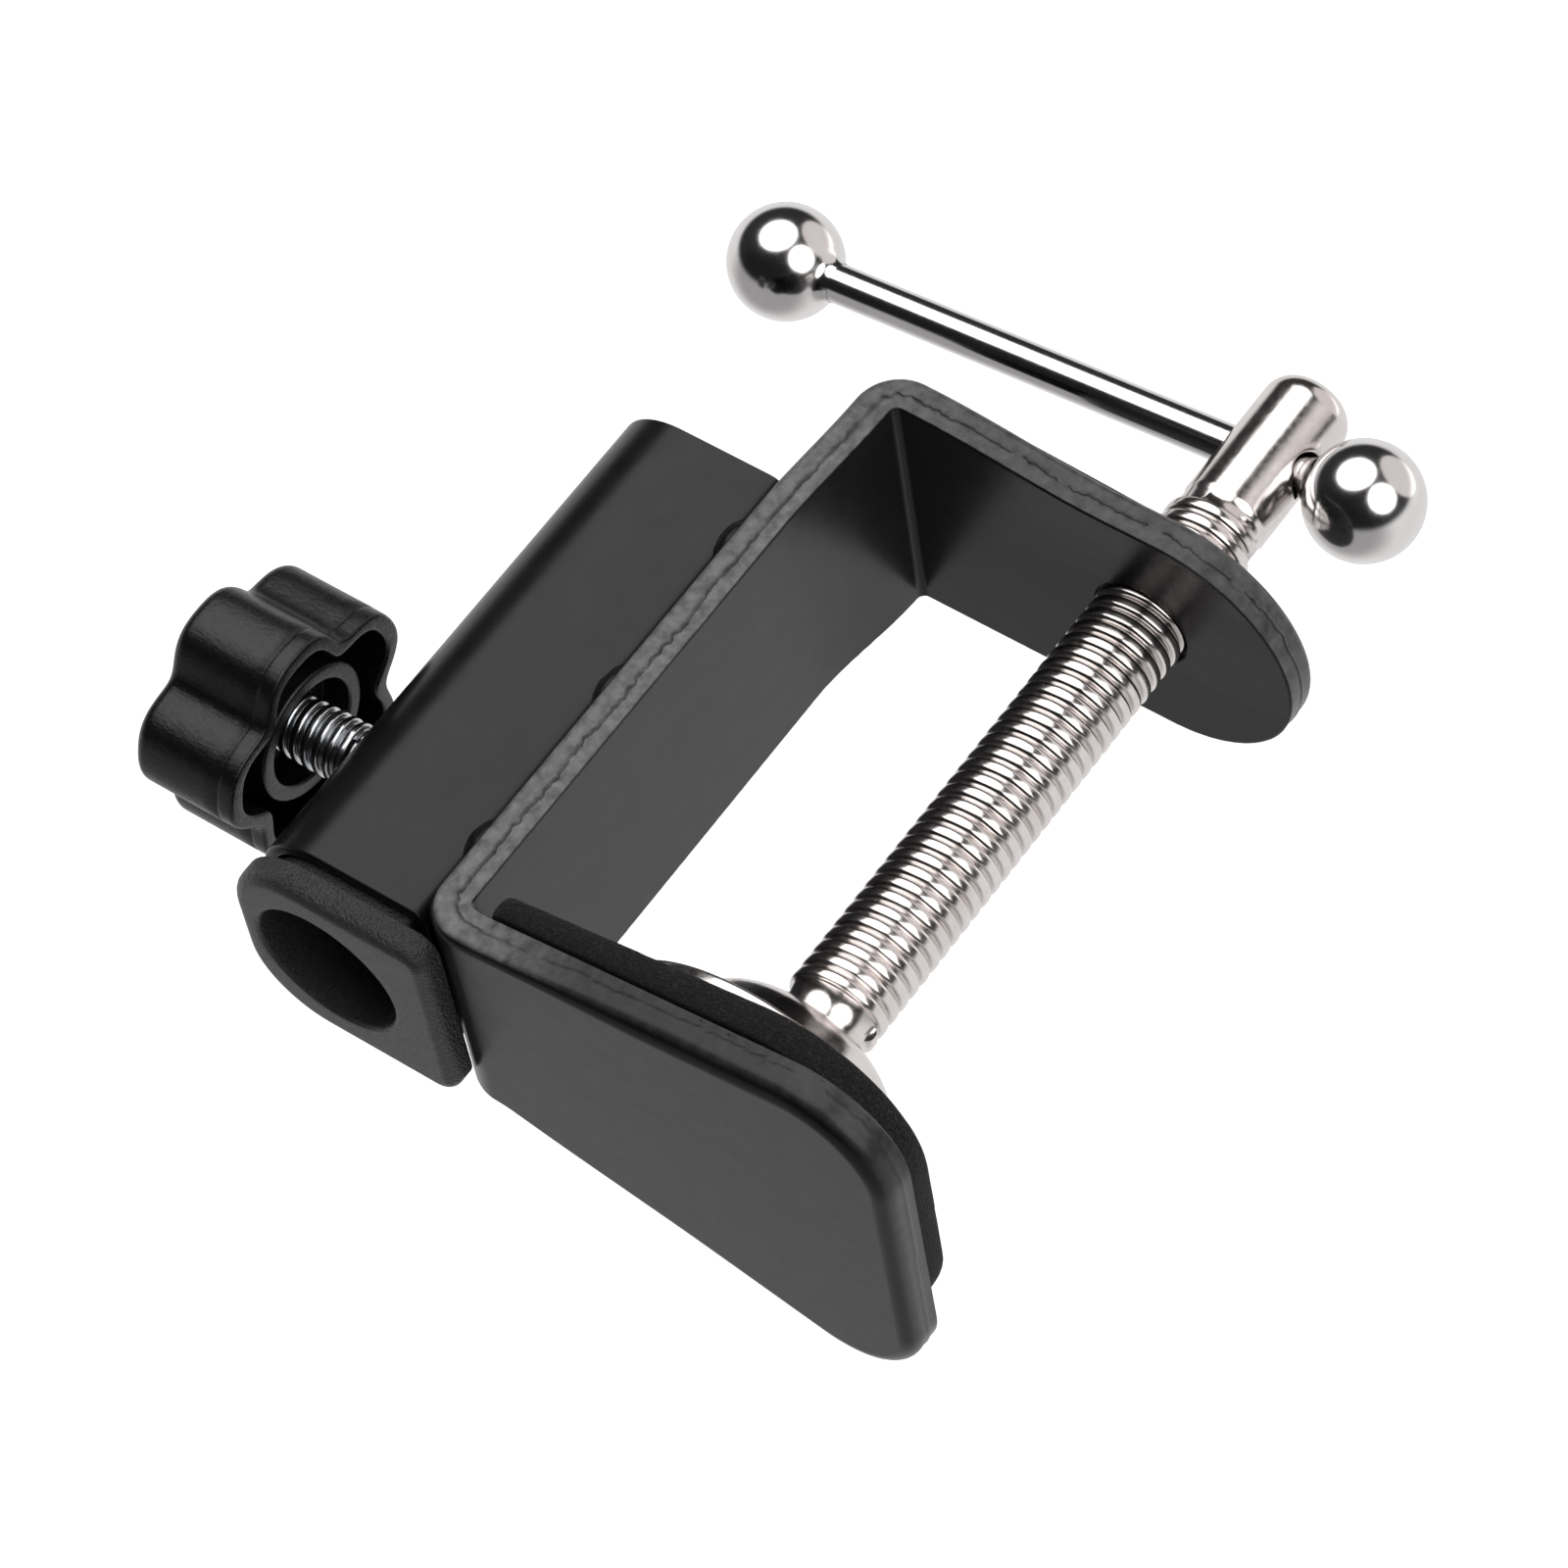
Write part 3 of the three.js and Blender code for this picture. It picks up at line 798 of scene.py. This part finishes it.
def make_bush():
    """A D-shaped flange and sleeve round the bore; each loop has a point for each of the flange's."""
    surface = Surface()
    flange_back = bush_high[0] + FLANGE_BACK_EXTRA
    flange = d_outline(
        flange_back, bush_low[0], bush_high[1], FLANGE_SMALL_CORNER, FLANGE_LARGE_CORNER, spacing=0.35
    )
    inset = TUBE_WALL + SLEEVE_GAP
    centre = np.array([BORE_X, 0])
    top = bush_high[2]
    bottom = bush_low[2]
    sleeve_back = tube_high[0] - inset
    sleeve_front = tube_low[0] + inset
    sleeve_half = tube_high[1] - inset

    angles = np.arctan2(flange[:, 1], flange[:, 0] - BORE_X)

    def bore(radius, z):
        return [(BORE_X + radius * math.cos(a), radius * math.sin(a), z) for a in angles]

    fine = d_outline(sleeve_back, sleeve_front, sleeve_half, 0.6, TUBE_LARGE_CORNER - inset, spacing=0.1)
    fine_angles = np.arctan2(fine[:, 1], fine[:, 0] - BORE_X)
    order = np.argsort(fine_angles)
    reach = np.linalg.norm(fine - centre, axis=1)[order]
    radii = np.interp(angles, fine_angles[order], reach, period=TURN)

    def sleeve(z, shrink=0.0):
        reaches = radii - shrink
        return [(BORE_X + r * math.cos(a), r * math.sin(a), z) for r, a in zip(reaches, angles)]

    edge = rounded(
        [[-3, top, 0], [0, top, FLANGE_EDGE], [0, FLANGE_BOTTOM, 0.3], [-1, FLANGE_BOTTOM, 0]], steps=7
    )[1:-1]
    flange_loops = wall_loops(surface, flange, edge)
    lead = []
    for k in range(7):
        angle = math.pi / 2 * k / 6
        out, down = BORE_LEAD_IN * (1 - math.sin(angle)), BORE_LEAD_IN * (1 - math.cos(angle))
        lead.append((BORE_RADIUS + out, top - down))
    loops = [
        *[surface.loop(sleeve(z)) for z in (FLANGE_BOTTOM, -6, -16, bottom + 0.4)],
        surface.loop(sleeve(bottom, 0.3)),
        surface.loop(bore(BORE_RADIUS + 0.3, bottom)),
        surface.loop(bore(BORE_RADIUS, bottom + 0.3)),
        *[surface.loop(bore(BORE_RADIUS, z)) for z in (-16, -10, -4, 2)],
        *[surface.loop(bore(radius, z)) for radius, z in reversed(lead)],
        *flange_loops,
    ]
    surface.chain(loops, closed=True)
    piece = make_piece(
        "moulded_bush", surface, "frame", bush_plastic, ["socket_bush"], sharp=60
    )
    cut(piece, bolt_hole())
    even_shading(piece)


make_bush()

# ------------ welds


def make_weld(node):
    """A small uneven bead under the same paint."""
    low, high = corners(node)
    side = 1 if high[1] > 0 else -1
    centre = np.array([high[0] - 0.1, side * (tube_high[1] - 0.2), (low[2] + high[2]) / 2])
    radii = np.array(WELD_RADII)
    surface = Surface()
    rings, segments = 20, 32
    loops = []
    for j in range(rings + 1):
        polar = math.pi * j / rings
        ring = []
        for i in range(segments):
            angle = TURN * i / segments
            out = math.sin(polar)
            way = np.array([math.cos(angle) * out, math.sin(angle) * out, math.cos(polar)])
            swell = 1 + 0.10 * wobble(*(way * 1.7 + centre * 0.3)) + 0.04 * wobble(*(way * 5 + centre))
            point = centre + radii * way * swell
            ring.append((min(point[0], high[0]), point[1], point[2]))
            if j in (0, rings):
                break
        loops.append(surface.loop(ring))
    surface.chain(loops)
    make_piece(f"bead_{node}", surface, "frame", black_paint, [node], sharp=80)


for number in (1, 2, 3):
    for word in ("near", "far"):
        make_weld(f"weld_{word}_{number}")

# ------------ threads


def threaded(surface, radius_at, pitch, low, high, segments, per_pitch, low_share=0.5):
    """Faces of a right-hand thread about Z between two heights, with its plain first and last loops.

    The stretch that holds no whole turn is split between the two ends by low_share.
    """
    turns = math.floor((high - low) / pitch) - 1
    start = low + (high - low - turns * pitch) * low_share - pitch / 2
    rows = (turns - 1) * per_pitch + 1
    grid = []
    for j in range(rows):
        row = []
        for i in range(segments):
            angle = TURN * i / segments
            z = start + pitch * (j / per_pitch + i / segments) + pitch / 2
            radius = radius_at(z, (j / per_pitch) % 1.0)
            row.append((radius * math.cos(angle), radius * math.sin(angle), z))
        grid.append(surface.loop(row))
    for j in range(rows - 1):
        for i in range(segments - 1):
            surface.faces.append((grid[j][i], grid[j][i + 1], grid[j + 1][i + 1], grid[j + 1][i]))
        if j + per_pitch + 1 < rows:
            beside = grid[j + per_pitch]
            above = grid[j + per_pitch + 1]
            surface.faces.append((grid[j][-1], beside[0], above[0], grid[j + 1][-1]))
    bottom = surface.loop(circle(radius_at(low, 0), low, segments))
    top = surface.loop(circle(radius_at(high, 0), high, segments))
    first = grid[0]
    for i in range(1, segments - 1):
        surface.faces.append((bottom[i], bottom[i + 1], first[i + 1], first[i]))
    step = [grid[j][0] for j in range(per_pitch + 1)]
    surface.faces.append((bottom[0], bottom[1], first[1], first[0]))
    surface.faces.append((bottom[-1], bottom[0], *step, first[-1]))
    last = grid[-1]
    for i in range(segments - 1):
        surface.faces.append((last[i], last[i + 1], top[i + 1], top[i]))
    tail = [grid[j][-1] for j in range(rows - 1 - per_pitch, rows)]
    surface.faces.append((last[0], top[0], top[-1], *reversed(tail)))
    return bottom, top


def thread_shape(crest, depth, low, high, neck_low, neck_high, fade):
    """Radius of a rolled thread with round crests and narrow roots, fading out towards both ends."""

    def radius_at(z, phase):
        height = 1 - (1 - abs(math.sin(math.pi * phase))) ** 2.2
        body = crest - depth * (1 - height)
        from_low = smooth((z - low) / fade)
        from_high = smooth((high - z) / fade)
        radius = neck_low + (body - neck_low) * from_low
        return neck_high + (radius - neck_high) * from_high

    return radius_at


# ------------ clamp screw


def drilled_head(surface, bottom_loop, low, high, radius, hole_radius, lip, segments):
    """A cylinder between two heights with a round cross hole along local X. Returns its highest loop."""
    rows = round((high - low) / (TURN * radius / segments))
    heights = [low + (high - low) * j / rows for j in range(rows + 1)]
    middle = HANDLE_HEIGHT
    mouth = hole_radius + lip
    reach_columns = round(segments * 0.135)
    centre_row = min(range(rows + 1), key=lambda j: abs(heights[j] - middle))
    reach_rows = round((mouth + 0.7) / (heights[1] - heights[0]))
    loops = [bottom_loop]
    for z in heights[1:]:
        loops.append(surface.loop(circle(radius, z, segments)))
    low_row, high_row = centre_row - reach_rows, centre_row + reach_rows
    half = segments // 2

    def in_patch(i, j):
        """Whether a face of the plain cylinder is one of those round the hole's two mouths."""
        front = (i < reach_columns) or (i >= segments - reach_columns)
        back = half - reach_columns <= i < half + reach_columns
        return low_row <= j < high_row and (front or back)

    for j in range(rows):
        for i in range(segments):
            if not in_patch(i, j):
                k = (i + 1) % segments
                surface.faces.append((loops[j][i], loops[j][k], loops[j + 1][k], loops[j + 1][i]))

    def border(centre_column):
        """Column and row of each point round the patch, in order."""
        columns = [(centre_column + c) % segments for c in range(-reach_columns, reach_columns + 1)]
        return [
            *[(i, low_row) for i in columns[:-1]],
            *[(columns[-1], j) for j in range(low_row, high_row)],
            *[(i, high_row) for i in columns[:0:-1]],
            *[(columns[0], j) for j in range(high_row, low_row, -1)],
        ]

    rings_at_hole = []
    for side, column in ((1, 0), (-1, half)):
        places = border(column)
        inner = [loops[j][i] for i, j in places]
        facing = 0 if side > 0 else math.pi
        polar = []
        for i, j in places:
            x = side * radius * math.sin(TURN * (i / segments) - facing)
            y = heights[j] - middle
            polar.append((math.atan2(y, x), math.hypot(x, y)))
        for share in (0.75, 0.5, 0.3, 0.14, 0.0):
            points = []
            for angle, reach in polar:
                out = mouth + (reach - mouth) * share
                across, up = out * math.cos(angle), out * math.sin(angle)
                points.append((side * math.sqrt(radius**2 - across**2), across, middle + up))
            ring = surface.loop(points)
            surface.join(inner, ring)
            inner = ring
        for k in range(1, 6):
            turn = math.pi / 2 * k / 5
            out = hole_radius + lip * (1 - math.sin(turn))
            sink = lip * (1 - math.cos(turn))
            points = []
            for angle, reach in polar:
                rim = mouth * math.cos(angle)
                depth = math.sqrt(radius**2 - rim**2) - sink
                points.append((side * depth, out * math.cos(angle), middle + out * math.sin(angle)))
            ring = surface.loop(points)
            surface.join(inner, ring)
            inner = ring
        rings_at_hole.append((inner, [angle for angle, reach in polar]))
    (front, front_angles), (back, back_angles) = rings_at_hole

    def opposite(angle):
        """The point of the back mouth that lies straight behind one of the front mouth."""
        away = [abs(math.remainder(other - angle, TURN)) for other in back_angles]
        return back[away.index(min(away))]

    surface.join(front, [opposite(angle) for angle in front_angles])
    return loops[-1]


def make_screw():
    """From below: domed head with its cross hole, groove, thread, neck, spigot and rivet."""
    surface = Surface()
    segments = 96
    head_low = screw_low[2]
    cap = rounded(
        [[0, head_low, 0], [HEAD_RADIUS, head_low, 2.5], [HEAD_RADIUS, head_low + 2.6, 0]], steps=10
    )
    cap_loops = lathe(surface, [(0, head_low), (0.8, head_low), *[tuple(p) for p in cap[1:]]], segments)
    shoulder = drilled_head(
        surface, cap_loops[-1], cap[-1][1], THREAD_BOTTOM - 0.4, HEAD_RADIUS, BAR_RADIUS + 0.3, 0.3, segments
    )
    groove = surface.loop(circle(HEAD_RADIUS - 0.12, THREAD_BOTTOM - 0.1, segments))
    surface.join(shoulder, groove)
    low, high = THREAD_BOTTOM + 0.1, THREAD_TOP
    shape = thread_shape(
        SCREW_RADIUS, SCREW_DEPTH, low, high, HEAD_RADIUS - 0.15, NECK_RADIUS, SCREW_PITCH * 0.9
    )
    bottom, top = threaded(surface, shape, SCREW_PITCH, low, high, segments, 12)
    surface.join(groove, bottom)
    back = foot_low[2]
    rivet = screw_high[2] - RIVET_HEIGHT
    profile = rounded(
        [
            [NECK_RADIUS, THREAD_TOP, 0],
            [NECK_RADIUS, back - 0.3, 0.2],
            [SPIGOT_RADIUS, back - 0.3, 0],
            [SPIGOT_RADIUS, rivet, 0],
            [RIVET_RADIUS, rivet, 0.15],
            [RIVET_RADIUS - 0.5, rivet + 1.0, 1.0],
            [1.6, screw_high[2], 1.0],
            [0.6, screw_high[2], 0],
        ],
        steps=5,
    )
    loops = [surface.loop(circle(r, z, segments)) for r, z in profile[1:]]
    loops.append(surface.loop([(0, 0, screw_high[2])]))
    surface.chain([top, *loops])
    turn = Matrix.Rotation(HANDLE_ANGLE, 4, "Z")
    make_piece(
        "threaded_screw", surface, "screw", nickel, ["clamp_screw"], place=turn, sharp=62
    )


make_screw()

# ------------ pressure foot


def make_foot():
    """A bell pressed from sheet: flat round the rivet, a cone, and a flat rim with an upright edge."""
    surface = Surface()
    hole = SPIGOT_RADIUS + 0.3
    back, lip, rim = foot_low[2], foot_high[2], foot_high[0]
    section = rounded(
        [
            [hole, back, 0.15],
            [5.6, back, 2.5],
            [9.4, back + 1.9, 6],
            [12.9, lip - FOOT_WALL, 1.6],
            [rim, lip - FOOT_WALL, 0.35],
            [rim, lip, 0.35],
            [12.4, lip, 1.6],
            [8.9, back + 2.9, 6],
            [5.3, back + FOOT_SHEET, 2.5],
            [hole, back + FOOT_SHEET, 0.15],
        ],
        steps=6,
        closed=True,
    )
    loops = [surface.loop(circle(r, z, 160)) for r, z in section]
    surface.chain(loops, closed=True)
    make_piece("dished_foot", surface, "foot", nickel, ["pressure_foot"], sharp=60)


make_foot()

# ------------ T-handle

# Lays a shape drawn about Z along the handle.
handle_place = (
    Matrix.Translation((0, 0, HANDLE_HEIGHT * MM))
    @ Matrix.Rotation(HANDLE_ANGLE, 4, "Z")
    @ Matrix(((0, 0, 1, 0), (0, 1, 0, 0), (-1, 0, 0, 0), (0, 0, 0, 1)))
)


def handle_piece(name, surface, node):
    make_piece(name, surface, "handle", chrome, [node], place=handle_place, sharp=60)


def make_bar():
    surface = Surface()
    inset = BALL_RADIUS - BALL_SOCKET_DEPTH + 0.3
    low, high = -BALL_FAR + inset, BALL_NEAR - inset
    ends = rounded([[0, low, 0], [BAR_RADIUS, low, 0.3], [BAR_RADIUS, high, 0.3], [0, high, 0]], steps=4)
    profile = [ends[0]]
    for a, b in zip(ends, ends[1:]):
        count = max(1, round(abs(b[1] - a[1]) / 2.5))
        profile += [a + (b - a) * (k + 1) / count for k in range(count)]
    lathe(surface, profile, 64)
    handle_piece("chrome_bar", surface, "handle_bar")


def make_ball(name, node, centre):
    """A ball with a small collar where the bar goes in."""
    surface = Surface()
    towards_screw = -1 if centre > 0 else 1
    mouth = BAR_RADIUS + 0.03
    edge_angle = math.asin(BALL_COLLAR_RADIUS / BALL_RADIUS)
    steps = 44
    profile = []
    for k in range(steps + 1):
        angle = (math.pi - edge_angle) * k / steps
        profile.append((BALL_RADIUS * math.sin(angle), -BALL_RADIUS * math.cos(angle)))
    profile[0] = (0, -BALL_RADIUS)
    out = BALL_RADIUS * math.cos(edge_angle)
    for r, rise in ((2.5, 0.18), (2.3, 0.42), (2.15, 0.7), (2.06, 1.0), (mouth, 1.3)):
        profile.append((r, out + rise))
    deep = BALL_RADIUS - BALL_SOCKET_DEPTH
    profile += [(mouth, out - 1), (mouth, deep + 0.2), (mouth - 0.2, deep), (0, deep)]
    loops = [
        surface.loop([(x, y, centre + towards_screw * z) for x, y, z in circle(r, z, 96)]) for r, z in profile
    ]
    surface.chain(loops)
    handle_piece(name, surface, node)


make_bar()
make_ball("chrome_ball_far", "handle_ball_far", -BALL_FAR)
make_ball("chrome_ball_near", "handle_ball_near", BALL_NEAR)

# ------------ lock knob and bolt

# Lays a shape drawn about Z along X, at the lock bolt's height.
lock_place = Matrix(((0, 0, 1, 0), (1, 0, 0, 0), (0, 1, 0, LOCK_HEIGHT * MM), (0, 0, 0, 1)))


def lobed(inset, x, segments):
    """The knob's outline, drawn in by a distance."""
    points = []
    for i in range(segments):
        angle = TURN * i / segments
        wave = KNOB_LOBES * angle
        radius = KNOB_RADIUS - inset + KNOB_LOBE * math.cos(wave) - KNOB_VALLEY * math.cos(2 * wave)
        points.append((radius * math.cos(angle), radius * math.sin(angle), x))
    return points


def make_knob():
    """From the outer cap over the rim, down into the hollow, and up and over the boss."""
    surface = Surface()
    segments = 240
    cap, rim = knob_low[0], knob_high[0]
    floor = cap + KNOB_FLOOR
    boss = rim - BOSS_SET_BACK
    recess = boss - BOSS_RECESS_DEPTH
    seam = rim - KNOB_SEAM
    side = cap + KNOB_CAP_EDGE
    outer = rounded([[6, cap, 0], [0, cap, KNOB_CAP_EDGE], [0, seam, 0]], steps=8)
    loops = [surface.loop([(0, 0, cap)])]
    loops += [surface.loop(circle(r, cap, segments)) for r in (1.5, 3)]
    edge = rounded(
        [[0.02, seam + 0.5, 0], [0.05, rim, 0.4], [KNOB_WALL, rim, 0.35], [KNOB_WALL, rim - 2, 0]], steps=5
    )
    wall = [
        *outer[:-1],
        *[(0, side + (seam - side) * k / 5) for k in range(1, 5)],
        *[(0, seam - 0.08), (0.09, seam), (0.09, seam + 0.1), (0.02, seam + 0.22)],
        *edge,
        (KNOB_WALL + 0.15, floor + 0.5),
        (KNOB_WALL + 0.6, floor),
    ]
    loops += [surface.loop(lobed(inset, x, segments)) for inset, x in wall]
    boss_profile = rounded(
        [
            [BOSS_RADIUS + 0.3, floor, 0],
            [BOSS_RADIUS, floor + 0.3, 0],
            [BOSS_RADIUS, boss, 0.35],
            [BOSS_RECESS_RADIUS, boss, 0.3],
            [BOSS_RECESS_RADIUS, recess, 0.2],
            [BOLT_RADIUS + BOLT_CLEARANCE, recess, 0.15],
            [BOLT_RADIUS + BOLT_CLEARANCE, cap + 2, 0],
            [0, cap + 2, 0],
        ],
        steps=4,
    )
    loops += [surface.loop(circle(r, x, segments)) for r, x in boss_profile]
    surface.chain(loops)
    make_piece("moulded_knob", surface, "knob", knob_plastic, ["lock_knob"], place=lock_place, sharp=65)


def make_bolt():
    """The threaded part that turns with the knob, and the plain point that it pushes along."""
    surface = Surface()
    low, high = bolt_low[0], bolt_high[0]
    segments = 64
    first, last = low + 0.5, high - 0.3
    shape = thread_shape(BOLT_RADIUS, BOLT_DEPTH, first, last, 2.7, 2.6, 0.8)
    bottom, top = threaded(surface, shape, BOLT_PITCH, first, last, segments, 12, low_share=0.95)
    ends = [surface.loop([(0, 0, low)]), surface.loop(circle(2.3, low, segments))]
    surface.chain([*ends, bottom])
    tips = [surface.loop(circle(2.35, high, segments)), surface.loop([(0, 0, high)])]
    surface.chain([top, *tips])
    make_piece(
        "threaded_bolt", surface, "knob", zinc, ["lock_bolt"], place=lock_place, sharp=65
    )
    point = Surface()
    low, high = point_low[0], point_high[0]
    radius = point_high[1]
    profile = rounded([[0, low, 0], [radius, low, 0.2], [radius, high, 0.55], [0, high, 0]], steps=6)
    lathe(point, profile, 64)
    make_piece(
        "bolt_tip", point, "bolt_point", zinc, ["lock_bolt_point"], place=lock_place, sharp=60
    )


make_knob()
make_bolt()

# ------------ floor, light and camera

# Metres and degrees. The camera looks at AIM and is rolled about its own axis.
AIM = Vector((-0.0241, -0.0136, -0.0353))
VIEW_AZIMUTH = 64.23
VIEW_ELEVATION = 23.685
VIEW_ROLL = -140.95
VIEW_DISTANCE = 0.585
LENS = 146.25
SENSOR = 36.0


def towards(azimuth, elevation):
    """Unit direction at an angle from +X towards +Y, and above the horizon, in degrees."""
    a, e = math.radians(azimuth), math.radians(elevation)
    return Vector((math.cos(e) * math.cos(a), math.cos(e) * math.sin(a), math.sin(e)))


def aim(thing, way, distance, roll=0.0):
    """Puts a camera or a light at a distance from AIM, facing it."""
    thing.location = AIM + way * distance
    thing.rotation_mode = "QUATERNION"
    thing.rotation_quaternion = way.to_track_quat("Z", "Y") @ Quaternion((0, 0, 1), math.radians(roll))


def add_camera():
    data = bpy.data.cameras.new("camera")
    data.lens = LENS
    data.sensor_width = SENSOR
    data.clip_start = 0.01
    data.clip_end = 50
    camera = placed("camera", data)
    aim(camera, towards(VIEW_AZIMUTH, VIEW_ELEVATION), VIEW_DISTANCE, VIEW_ROLL)
    bpy.context.scene.camera = camera


def add_floor():
    """A plain pale floor, well below the object, that gives off light and is left out of reflections."""
    mesh = bpy.data.meshes.new("floor")
    mesh.from_pydata([(-9, -9, -1), (9, -9, -1), (9, 9, -1), (-9, 9, -1)], [], [(0, 1, 2, 3)])
    floor = placed("floor", mesh)
    floor.visible_glossy = False
    look = Nodes("floor_paper", Roughness=0.9, Emission_Color=(1, 1, 1, 1), Emission_Strength=1.0)
    look.colour(look.mix(look.noise(0.01, 2), (0.86, 0.86, 0.86), (0.88, 0.88, 0.88)))
    mesh.materials.append(look.material)


def add_softbox(name, way, distance, width, brightness, colour=(1, 1, 1)):
    """A round light panel facing the object, with an even brightness over its face."""
    data = bpy.data.lights.new(name, "AREA")
    data.shape = "DISK"
    data.size = width
    data.energy = brightness * math.pi * math.pi / 4 * width**2
    data.color = colour
    light = placed(name, data)
    light.visible_camera = False
    aim(light, Vector(way).normalized(), distance)


def add_world():
    """A white sweep behind the object and a dark room on its +Y side, seen as plain white by the camera."""
    world = bpy.data.worlds.new("studio")
    bpy.context.scene.world = world
    world.use_nodes = True
    tree = world.node_tree
    sky = tree.nodes["Background"]
    place = tree.nodes.new("ShaderNodeTexCoord")
    parts = tree.nodes.new("ShaderNodeSeparateXYZ")
    tree.links.new(place.outputs["Generated"], parts.inputs[0])

    def faded(axis, start, end, bright, dark):
        """Brightness that falls from bright to dark between two heights on an axis."""
        node = tree.nodes.new("ShaderNodeMapRange")
        node.interpolation_type = "SMOOTHSTEP"
        settings = {"From Min": start, "From Max": end, "To Min": bright, "To Max": dark}
        for socket, value in settings.items():
            node.inputs[socket].default_value = value
        tree.links.new(parts.outputs[axis], node.inputs["Value"])
        return node.outputs["Result"]

    dimmed = tree.nodes.new("ShaderNodeMath")
    dimmed.operation = "MULTIPLY"
    tree.links.new(faded("Y", -0.12, 0.08, 0.82, 0.025), dimmed.inputs[0])
    tree.links.new(faded("Z", 0, 0.7, 1.0, 0.45), dimmed.inputs[1])
    rays = tree.nodes.new("ShaderNodeLightPath")
    seen = tree.nodes.new("ShaderNodeMix")
    seen.data_type = "FLOAT"
    tree.links.new(rays.outputs["Is Camera Ray"], seen.inputs["Factor"])
    tree.links.new(dimmed.outputs[0], seen.inputs["A"])
    seen.inputs["B"].default_value = 1.1
    tree.links.new(seen.outputs["Result"], sky.inputs["Strength"])
    sky.inputs["Color"].default_value = (1, 1, 1, 1)


add_camera()
add_floor()
add_world()
add_softbox("overhead_softbox", (-0.288, 0.941, -0.177), 0.9, 1.15, 2.0)
add_softbox("side_softbox", (0.724, 0.690, 0.009), 0.9, 0.88, 2.2)
add_softbox("reflector", (0.445, 0.342, -0.828), 0.95, 1.1, 0.7, (1, 0.95, 0.94))
bpy.context.scene.view_settings.view_transform = "Standard"
